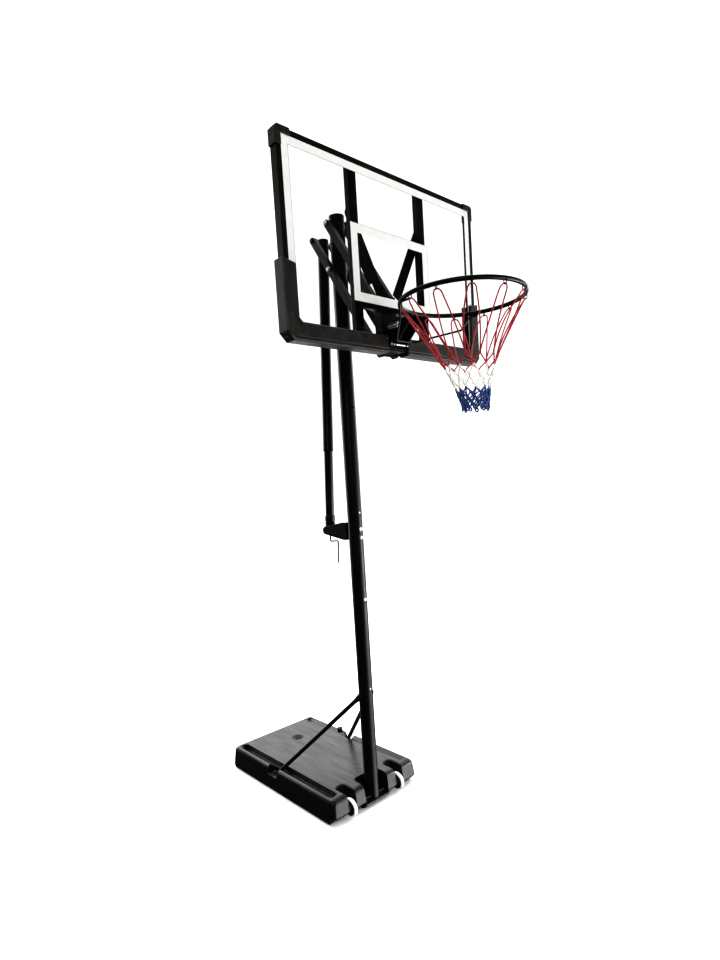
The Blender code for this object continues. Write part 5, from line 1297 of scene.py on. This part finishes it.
@dataclass
class Backboard(SubAssembly):
    """The framed clear panel with its print, its rear steel and its corner guards."""

    border_edge: float = 51.0 * MM
    square_half_width: float = 227.0 * MM
    square_low: float = 2.290
    square_high: float = 2.586
    square_band: float = 34.5 * MM
    ink_thickness: float = 0.15 * MM
    ink_sunk: float = 0.02 * MM
    # Width of the painted shade band along the print's edges.
    outline: float = 1.6 * MM

    def build(self) -> None:
        """Dresses the frame, the panel and the guards, and prints the panel."""
        for edge in ("top", "bottom", "near", "far"):
            self.coat("board_rail_" + edge, 1.2 * MM)
        rounded_copy("board_panel", 0.5 * MM, self.finishes.acrylic)
        self.coat("board_crossbar", 1.0 * MM)
        self.coat("arm_channel", 0.9 * MM)
        for side in Side:
            self.coat("board_post_" + side.label, 1.0 * MM)
            self.coat("bracket_leg_" + side.label, 0.8 * MM)
            rounded_copy("corner_cap_" + side.label, 1.5 * MM, self.finishes.cap, 3)
            rounded_copy("corner_pad_" + side.label, 2.5 * MM, self.finishes.pad, 3)
        self.prints()

    def prints(self) -> None:
        """The white border inside the frame, the white square over the ring, and thin grey bands of painted
        shade along the border's inner edge and round the square.
        """
        low, high = node_box("board_panel")
        rails_low, rails_high = node_box("board_rail_bottom")[0], node_box("board_rail_top")[1]
        outer = np.array([[low[0], low[2]], [high[0], high[2]]])
        inwards = np.array([[1], [-1]])
        inner = np.array([rails_low[[0, 2]], rails_high[[0, 2]]]) + inwards * self.border_edge
        square = np.array([[-self.square_half_width, self.square_low],
                           [self.square_half_width, self.square_high]])
        window, line = square + inwards * self.square_band, inwards * self.outline
        ink, dark_ink = self.finishes.ink, self.finishes.dark_ink
        # The two grey rings are painted shade along the print's edges, laid on in a grey ink.
        rings = (("printed_border", outer, inner, ink), ("printed_square", square, window, ink),
                 ("printed_border_painted_shade", inner, inner + line, dark_ink),
                 ("printed_square_painted_shade", square - line, square, dark_ink))
        for name, edge, hole, colour in rings:
            ring = self.flat_ring(edge, hole, float(low[1]) - self.ink_sunk)
            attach(mesh_object(name, [ring], [colour], 30), "backboard")

    def flat_ring(self, outer: Array, inner: Array, rear: float) -> Surface:
        """A flat rectangular ring of ink: four corners, each with four points, joined round both ways.

        Args:
            outer: Lowest and highest (x, z) of its outer edge.
            inner: The same of its inner edge.
            rear: The y of its back.

        Returns:
            The surface.
        """
        picks = np.array([(0, 0), (1, 0), (1, 1), (0, 1)])
        edges = [np.stack([box[picks[:, 0], 0], box[picks[:, 1], 1]], -1) for box in (outer, inner)]
        front = rear - self.ink_thickness
        rows = [np.insert(edges[number], 1, depth, axis=1)
                for number, depth in ((0, rear), (0, front), (1, front), (1, rear))]
        quads, places = grid_faces(4, 4, True, True)
        return Surface(np.stack(rows, 1).reshape(-1, 3), quads, NO_TRIANGLES, places / 4.0)


@dataclass
class Rim(SubAssembly):
    """The ring with its hooks and brace, the carrier, the mount and the two springs."""

    centre: Point = (0.0, -0.675, 2.240)
    radius: float = 233.5 * MM
    bar: float = 8.5 * MM
    hooks: int = 12
    hook_radius: float = 6.5 * MM
    hook_wire: float = 1.8 * MM
    hook_drop: float = 12.0 * MM
    brace_bar: float = 4.0 * MM
    brace_degrees: float = 25.0
    brace_foot: Pair = (46 * MM, -374.5 * MM)
    brace_bend: float = 18 * MM
    spring_place: Pair = (55 * MM, 2.205)
    spring_radius: float = 9.5 * MM
    spring_wire: float = 1.3 * MM
    spring_turns: int = 7
    spring_end: float = 0.9

    def angles(self) -> Array:
        """Angles of the hooks round the ring."""
        return (np.arange(self.hooks) + 0.5) * TURN / self.hooks

    def ring(self) -> None:
        """The bar as a torus, and each hook down, round and up in the ring's radial plane."""
        count = 160
        turn, angles = np.arange(count) * TURN / count, self.angles()
        path = np.stack([np.cos(turn), np.sin(turn), np.zeros(count)], -1) * self.radius + self.centre
        outwards = np.stack([np.cos(angles), np.sin(angles), np.zeros(self.hooks)], -1)
        tangents = np.stack([-np.sin(angles), np.cos(angles), np.zeros(self.hooks)], -1)
        bend = np.linspace(0, math.pi, 13)
        sideways = np.concatenate([[1.0], np.cos(bend), [-1.0]]) * self.hook_radius
        middle = self.centre[2] - self.bar - self.hook_drop + self.hook_radius
        rise = self.centre[2] - 2 * MM - middle
        hooks = outwards[:, None] * (self.radius + sideways)[None, :, None] + self.centre
        hooks[..., 2] = middle + np.concatenate([[rise], -np.sin(bend) * self.hook_radius, [rise]])
        skins = [swept(path, self.bar, 28, UP, closed=True), swept(hooks, self.hook_wire, 10, tangents)]
        self.steel_piece("ring_with_hooks", "rim_ring", skins, 60)

    def brace(self) -> None:
        """The bent rod under the rim, through the same corners as its CAD solid, mirrored over x = 0."""
        turn = math.radians(self.brace_degrees)
        level = self.centre[2] - self.bar - self.brace_bar - 0.3 * MM
        x, y = self.radius * math.cos(turn), self.centre[1] + self.radius * math.sin(turn)
        foot = (*self.brace_foot, float(node_box("ring_brace")[0][2]) + self.brace_bar)
        half = np.array([(x, y - 16 * MM, level), (x, y + 26 * MM, level),
                         (x - 26 * MM, y + 50 * MM, self.centre[2] - 62 * MM), foot])
        path = rounded_path(np.concatenate([half * (-1, 1, 1), half[::-1]]), self.brace_bend, 10)
        skin = swept(path, self.brace_bar, 16, (0.0, 0.35, 1.0))
        self.steel_piece("ring_brace_rod", "ring_brace", [skin])

    def spring(self, side: Side) -> None:
        """A helix with closed ends, slow in the first and the last turn.

        Args:
            side: The spring's side.
        """
        node = "spring_" + side.label
        low, high = node_box(node)
        wire, radius, turns = self.spring_wire, self.spring_radius, self.spring_turns
        middle_x, middle_z = side.sign * self.spring_place[0], self.spring_place[1]
        step = np.linspace(0, turns, turns * 28 + 1)
        front, rear = float(low[1]) + wire, float(high[1]) - wire
        closed = (2 * wire + 0.1 * MM) / (rear - front)
        bends = [0, self.spring_end, turns - self.spring_end, turns]
        share = np.interp(step, bends, [0, closed, 1 - closed, 1])
        path = np.stack([middle_x + radius * np.cos(step * TURN), rear - (rear - front) * share,
                         middle_z + radius * np.sin(step * TURN)], -1)
        made = mesh_object("coil_" + node, [swept(path, wire, 14, (0, 1, 0))], [self.finishes.chrome], 60)
        take_place(made, node)
        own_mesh(made)

    def build(self) -> None:
        """Makes ring, brace and springs, and dresses the plates."""
        self.ring()
        self.brace()
        for side in Side:
            self.spring(side)
        self.coat("rim_mount_plate", 0.8 * MM)
        self.coat("rim_carrier", 0.9 * MM)
        self.plate("rim_hinge_pin", 0.6 * MM)


@dataclass
class Net(SubAssembly):
    """The net: long red loops from the hooks, a short white waist and a dense blue tail."""

    rim: Rim
    heights: tuple[float, ...] = (2.2236, 2.022, 1.984, 1.946, 1.906, 1.883, 1.859, 1.838)
    top_radius: float = 233.5 * MM
    bottom_radius: float = 50.0 * MM
    taper: float = 1.45
    sway: Pair = (25.0 * MM, -23.0 * MM)
    sway_power: float = 1.5
    cord: float = 2.7 * MM
    knot: float = 3.8 * MM
    arch_half: float = 18.0 * MM
    arch_drop: float = 22.0 * MM
    arch_share: float = 0.12
    slack: float = 5 * MM
    tail_row: int = 4
    tail_inset: float = 6 * MM
    tail_loop: Pair = (5 * MM, 7 * MM)

    def fall(self, height: Array) -> Array:
        """How far down the net a height lies, 0 at the hooks and 1 at its end."""
        return np.clip((self.heights[0] - height) / (self.heights[0] - self.heights[-1]), 0, 1)

    def radius(self, height: Array) -> Array:
        """The net's radius at a height: bottom + (top - bottom) (1 - fall) ** taper."""
        flare = (1 - self.fall(height)) ** self.taper
        return self.bottom_radius + (self.top_radius - self.bottom_radius) * flare

    def swayed(self, points: Array) -> Array:
        """Points moved sideways as a photographed net swings: sway x fall ** power."""
        return points + np.array([*self.sway, 0.0]) * self.fall(points[:, 2:]) ** self.sway_power

    def place(self, angle: Array, radius: Array, height: Array) -> Array:
        """Points from angles round the ring, radii and heights."""
        angle, radius, height = np.broadcast_arrays(angle, radius, height)
        return np.stack([radius * np.cos(angle), self.rim.centre[1] + radius * np.sin(angle), height], -1)

    def outwards(self, points: Array) -> Array:
        """The level ways from the ring's middle to points."""
        return (points - np.array(self.rim.centre)) * (1, 1, 0)

    def knots(self, twist: float = 0.0, inset: float = 0.0) -> Array:
        """Knots of the rows under the loops; every other row is half a step on.

        Args:
            twist: Turn of the rows under the tail's first one.
            inset: How far those rows lie inside.

        Returns:
            The knots, (rows, knots, 3). They stray by a few millimetres, as sines of the two numbers.
        """
        rows = np.arange(1, len(self.heights))[:, None]
        number = np.arange(self.rim.hooks)[None]
        under = rows > self.tail_row
        angles = self.rim.angles()[None] + (rows % 2) * math.pi / self.rim.hooks + twist * under
        heights = np.array(self.heights)[1:, None] + 3 * MM * np.sin(2.4 * number + 1.7 * rows)
        heights = heights - inset * 0.6 * under
        radii = self.radius(heights) - inset * under + 2.5 * MM * np.sin(3.1 * number + 2.3 * rows)
        return self.place(angles + 0.035 * np.sin(1.9 * number + 2.9 * rows), radii, heights)

    def loops(self, knots: Array) -> Array:
        """A cord from the knot on a hook's one side, up, over in the hook and down to the other side's knot.

        Half of it, with u from 0 at the hook to 1: an arch (sin, 1 - cos) over the first part, and then the
        net's own radius at each height, with the sideways distance growing evenly and a slack of a few mm.

        Args:
            knots: All knots, (rows, knots, 3).

        Returns:
            The cords' points, (cords, points, 3).
        """
        u = np.linspace(0, 1, 26)[None]
        turn = np.clip(u / self.arch_share, 0, 1) * math.pi / 2
        v = np.clip((u - self.arch_share) / (1 - self.arch_share), 0, 1)
        angles = self.rim.angles()[:, None]
        halves = []
        for sign, lower in ((-1, np.roll(knots[0], 1, axis=0)), (1, knots[0])):
            level = self.outwards(lower)
            reach = (np.arctan2(level[:, 1], level[:, 0])[:, None] - angles + math.pi) % TURN - math.pi
            end_radius = np.hypot(level[:, 1], level[:, 0])[:, None]
            arch_angle = sign * self.arch_half / self.rim.radius
            top = self.heights[0] - self.arch_drop * (1 - np.cos(turn))
            height = top + (lower[:, 2:] - top) * v
            wave = np.sin(math.pi * v) * np.sin(6.3 * angles + sign)
            angle = angles + arch_angle * np.sin(turn) + (reach - arch_angle) * v + 0.03 * wave
            radius = self.radius(height) + (end_radius - self.radius(lower[:, 2:])) * v + self.slack * wave
            halves.append(self.place(angle, radius, height))
        return np.concatenate([halves[0][:, :0:-1], halves[1]], axis=1)

    def meshes(self, knots: Array, first: int) -> Array:
        """Two cords down from each knot, eased so that neighbours meet side by side.

        Args:
            knots: All knots, (rows, knots, 3).
            first: The first row that has them.

        Returns:
            The cords' points, (cords, points, 3).
        """
        share = np.linspace(0, 1, 8)[None]
        ease = share - 0.09 * np.sin(share * TURN)
        runs = []
        for row in range(first, len(self.heights) - 1):
            upper, below = knots[row - 1][:, None], knots[row]
            for lower in (below, np.roll(below, -1 if row % 2 else 1, axis=0)):
                level = upper[..., :2] + (lower[:, None] - upper)[..., :2] * ease[..., None]
                drop = upper[..., 2] + (lower[:, None] - upper)[..., 2] * share
                runs.append(np.concatenate([level, drop[..., None]], -1))
        return np.concatenate(runs)

    def tail_loops(self, lowest: Array) -> Array:
        """A closed elliptic loop in the net's skin under each knot of the lowest row.

        Args:
            lowest: The row's knots, (knots, 3).

        Returns:
            The loops' points, (loops, points, 3).
        """
        outwards = self.outwards(lowest)
        outwards /= np.linalg.norm(outwards, axis=1, keepdims=True)
        sideways = np.cross(UP, outwards)
        turn = (np.arange(16) * TURN / 16)[None, :, None]
        rise = np.array(UP) * self.tail_loop[1]
        width = sideways[:, None] * np.sin(turn) * self.tail_loop[0]
        return (lowest - rise)[:, None] + width + rise * np.cos(turn)

    def knot_skins(self, centres: Array) -> Surface:
        """A lump at every knot, with cord grooves wound round it.

        It is a ball of radius r (1 + 0.14 sin(3 turn + 4 fall)), 1.25 times as tall.

        Args:
            centres: The knots, (knots, 3).

        Returns:
            One surface for them all.
        """
        rows, sides, opening = 9, 14, 0.16
        turn = np.arange(sides) * TURN / sides
        fall = np.linspace(opening, math.pi - opening, rows)[:, None]
        wave = 1 + 0.14 * np.sin(3 * turn[None] + 4 * fall)
        ball = np.stack([np.sin(fall) * np.cos(turn) * wave, np.sin(fall) * np.sin(turn) * wave,
                         np.broadcast_to(-np.cos(fall) * 1.25, wave.shape)], -1).reshape(-1, 3)
        one = np.concatenate([ball, [(0, 0, -1.3), (0, 0, 1.3)]]) * self.knot
        quads, places = grid_faces(rows, sides, False, True)
        triangles = end_fans(rows, sides, np.array([[len(ball), len(ball) + 1]]), np.zeros(1, int))
        starts = np.arange(len(centres))[:, None, None] * len(one)
        uv = np.tile(places * np.array([9 * MM, 0.7 * MM]), (len(centres), 1, 1))
        return Surface((centres[:, None] + one).reshape(-1, 3), (quads[None] + starts).reshape(-1, 4),
                       (triangles[None] + starts).reshape(-1, 3), uv)

    def skin(self, paths: Array, closed: bool = False) -> Surface:
        """Cord round paths, with the way out from the net's axis as reference."""
        return swept(paths, self.cord, 8, self.outwards(paths.mean(1)), closed=closed)

    def build(self) -> None:
        """Hangs loops, meshes, a second layer in the tail and the knots as one piece."""
        outer, inner = self.knots(), self.knots(math.pi / self.rim.hooks * 0.5, self.tail_inset)
        skins = [self.skin(self.loops(outer)), self.skin(self.meshes(outer, 1)),
                 self.skin(self.meshes(inner, self.tail_row)), self.skin(self.tail_loops(outer[-1]), True),
                 self.knot_skins(np.concatenate([outer, inner[self.tail_row:]]).reshape(-1, 3))]
        for surface in skins:
            surface.points = self.swayed(surface.points)
        take_place(mesh_object("hanging_net", skins, [self.finishes.cord], 70), "net")


# Studio


@dataclass(frozen=True)
class PhotoCamera:
    """The camera where the photograph was taken."""

    focal_px: float = 582.353
    middle_px: Pair = (354.522, 528.406)
    image_px: tuple[int, int] = (720, 960)
    place: Point = (-1.847, -2.038, 1.602)
    azimuth: float = -42.089
    elevation: float = 5.096
    roll: float = -3.601
    sensor_mm: float = 36.0
    clip_end: float = 200.0

    def build(self) -> None:
        """Turns the pixel values to a lens and a small shift and sets the scene's camera."""
        azimuth, elevation, roll = map(math.radians, (self.azimuth, self.elevation, self.roll))
        back = Vector((math.sin(azimuth) * math.cos(elevation), -math.cos(azimuth) * math.cos(elevation),
                       math.sin(elevation)))
        level = Vector(UP).cross(back).normalized()
        upright = back.cross(level)
        right = math.cos(roll) * level + math.sin(roll) * upright
        up = math.cos(roll) * upright - math.sin(roll) * level
        data = bpy.data.cameras.new("photo_camera")
        data.sensor_fit = "AUTO"
        data.sensor_width = self.sensor_mm
        longest = max(self.image_px)
        data.lens = self.focal_px * data.sensor_width / longest
        data.shift_x = (self.image_px[0] / 2 - self.middle_px[0]) / longest
        data.shift_y = (self.middle_px[1] - self.image_px[1] / 2) / longest
        data.clip_end = self.clip_end
        camera = linked("photo_camera", data)
        camera.matrix_world = Matrix.Translation(self.place) @ Matrix((right, up, back)).transposed().to_4x4()
        bpy.context.scene.camera = camera


def facing(away: Vector) -> Matrix:
    """The turn of a light whose back looks along a direction."""
    return away.to_track_quat("Z", "Y").to_matrix().to_4x4()


@dataclass(frozen=True)
class SoftLight:
    """One large soft box."""

    name: str
    place: Point
    aim: Point
    size: Pair
    power: float

    def build(self) -> None:
        """Makes an area light that faces its aim."""
        data = bpy.data.lights.new(self.name, "AREA")
        data.shape = "RECTANGLE"
        data.size, data.size_y = self.size
        data.energy = self.power
        light = linked(self.name, data)
        light.visible_transmission = False
        light.matrix_world = Matrix.Translation(self.place) @ facing(Vector(self.place) - Vector(self.aim))


@dataclass(frozen=True)
class Studio:
    """A pale floor, a white surround behind the stand and a dim room in front of it."""

    contrast: str = "High Contrast"
    floor_rings: tuple[float, ...] = (1.0, 8.0, 60.0)
    floor_sunk: float = 0.5 * MM
    backdrop_way: Point = (0.60, 0.66, 0.45)
    backdrop_lean: Pair = (0.15, 0.9)
    backdrop_power: Pair = (0.02, 0.9)
    bounce_way: Point = (0.53, -0.67, -0.52)
    bounce_lean: Pair = (0.80, 0.98)
    bounce_power: Pair = (0.0, 3.4)
    sky_power: float = 3.6
    sky_degrees: float = 150.0
    sky_way: Point = (-0.35, -0.45, 1.0)
    boxes: tuple[SoftLight, ...] = (
        SoftLight("overhead_box", (0.6, 1.6, 5.2), (0, 0, 1.2), (3.0, 3.0), 60),
        SoftLight("front_box", (-4.6, -3.6, 3.4), (0, -0.2, 1.9), (1.2, 1.2), 22),
        SoftLight("side_box", (4.6, -0.4, 2.6), (0, 0, 1.4), (2.6, 3.2), 70),
        SoftLight("rear_box", (-0.6, 6.0, 2.4), (0, 0, 1.4), (4.0, 4.0), 130),
        SoftLight("sheen_box", (2.9, 4.3, 2.3), (0, 0.45, 0.12), (2.8, 1.6), 18),
        SoftLight("low_box", (3.2, -2.6, 0.46), (0, 0, 0.9), (1.8, 0.9), 75),
        SoftLight("back_box", (-1.2, 3.7, 3.7), (0, 0.4, 0.12), (2.4, 1.6), 30))

    def build(self) -> None:
        """Makes floor, surround, soft boxes and sky."""
        bpy.context.scene.view_settings.view_transform = "Standard"
        bpy.context.scene.view_settings.look = self.contrast
        self.floor()
        self.surround()
        for box in self.boxes:
            box.build()
        self.sky()

    def sky(self) -> None:
        """A wide soft sun that lights the whole floor evenly and leaves no highlight."""
        data = bpy.data.lights.new("even_sky", "SUN")
        data.energy = self.sky_power
        data.angle = math.radians(self.sky_degrees)
        light = linked("even_sky", data)
        light.visible_glossy = False
        light.visible_transmission = False
        light.matrix_world = facing(Vector(self.sky_way))

    def floor(self) -> None:
        """A round pale floor, matt, with a faint cloud, which reflections and soft light don't see."""
        count = 96
        turn = np.arange(count) * TURN / count
        circle = np.stack([np.cos(turn), np.sin(turn), np.zeros(count)], -1)
        rings = (circle * np.array(self.floor_rings)[:, None, None]).reshape(-1, 3)
        points = np.concatenate([rings, np.zeros((1, 3))]) - (0, 0, self.floor_sunk)
        quads, places = grid_faces(len(self.floor_rings), count, False, True)
        here, there = np.arange(count), (np.arange(count) + 1) % count
        fan = np.stack([np.full(count, len(rings)), here, there], -1)
        disc = Surface(points, quads, fan, places / count)
        made = mesh_object("studio_floor", [disc], [FloorPaint().build()])
        if made.data.polygons[0].normal.z < 0:
            made.data.flip_normals()
        made.visible_glossy = False
        made.visible_diffuse = False
        made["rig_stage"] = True

    def surround(self) -> None:
        """White where it is seen straight or through the panel.

        As light it is bright behind the stand and low in front of it, as from a lit floor, and dim elsewhere.
        """
        world = bpy.data.worlds.new("white_surround")
        world.use_nodes = True
        bpy.context.scene.world = world
        tree = world.node_tree

        def maths(operation: str, first: Socket, second: Socket | float) -> Socket:
            """One sum on two values."""
            return add_node(tree, "ShaderNodeMath", {0: first, 1: second}, operation=operation).outputs[0]

        def glow(way: tuple[float, ...], lean: Pair, power: Pair) -> Socket:
            """Makes light round a way.

            Args:
                way: The direction it comes from.
                lean: Cosines of the view's angle to the way, where the light begins and where it is full.
                power: Its power at the two.

            Returns:
                The power in the view's direction.
            """
            view = add_node(tree, "ShaderNodeTexCoord").outputs["Generated"]
            inputs = {0: view, 1: tuple(Vector(way).normalized())}
            near = add_node(tree, "ShaderNodeVectorMath", inputs, operation="DOT_PRODUCT").outputs["Value"]
            return add_node(tree, "ShaderNodeMapRange", {
                "Value": near, "From Min": lean[0], "From Max": lean[1], "To Min": power[0],
                "To Max": power[1]}, interpolation_type="SMOOTHSTEP").outputs[0]

        light = maths("ADD", glow(self.backdrop_way, self.backdrop_lean, self.backdrop_power),
                      glow(self.bounce_way, self.bounce_lean, self.bounce_power))
        path = add_node(tree, "ShaderNodeLightPath").outputs
        straight = maths("LESS_THAN", maths("ADD", path["Diffuse Depth"], path["Glossy Depth"]), 0.5)
        through = maths("MULTIPLY", path["Is Transmission Ray"], straight)
        seen = maths("MAXIMUM", path["Is Camera Ray"], through)
        strength = add_node(tree, "ShaderNodeMix", {0: seen, 2: light, 3: 1.0}, data_type="FLOAT").outputs[0]
        background = tree.nodes["Background"]
        background.inputs["Color"].default_value = linear("#ffffff")
        tree.links.new(strength, background.inputs["Strength"])


def note_sizes(key: str, sizes: dict[str, list]) -> None:
    """Keeps the shown model's box under a key."""
    sizes[key] = [[float(value) for value in corner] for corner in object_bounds()]


def main() -> None:
    """Builds the camera, every sub-assembly and the studio, and notes the model's box before and after."""
    logging.basicConfig(level=logging.INFO, format="%(name)s: %(message)s")
    sizes: dict[str, list] = {}
    note_sizes("cad", sizes)
    PhotoCamera().build()
    finishes = Finishes()
    rim = Rim(finishes)
    for part in (Base(finishes), Pole(finishes), ScrewJack(finishes), LiftArms(finishes), Backboard(finishes),
                 rim, Net(finishes, rim), Fasteners(finishes)):
        part.build()
        LOG.info("%s built", type(part).__name__)
    Studio().build()
    bpy.context.view_layer.update()
    note_sizes("visual", sizes)


if __name__ == "__main__":
    main()
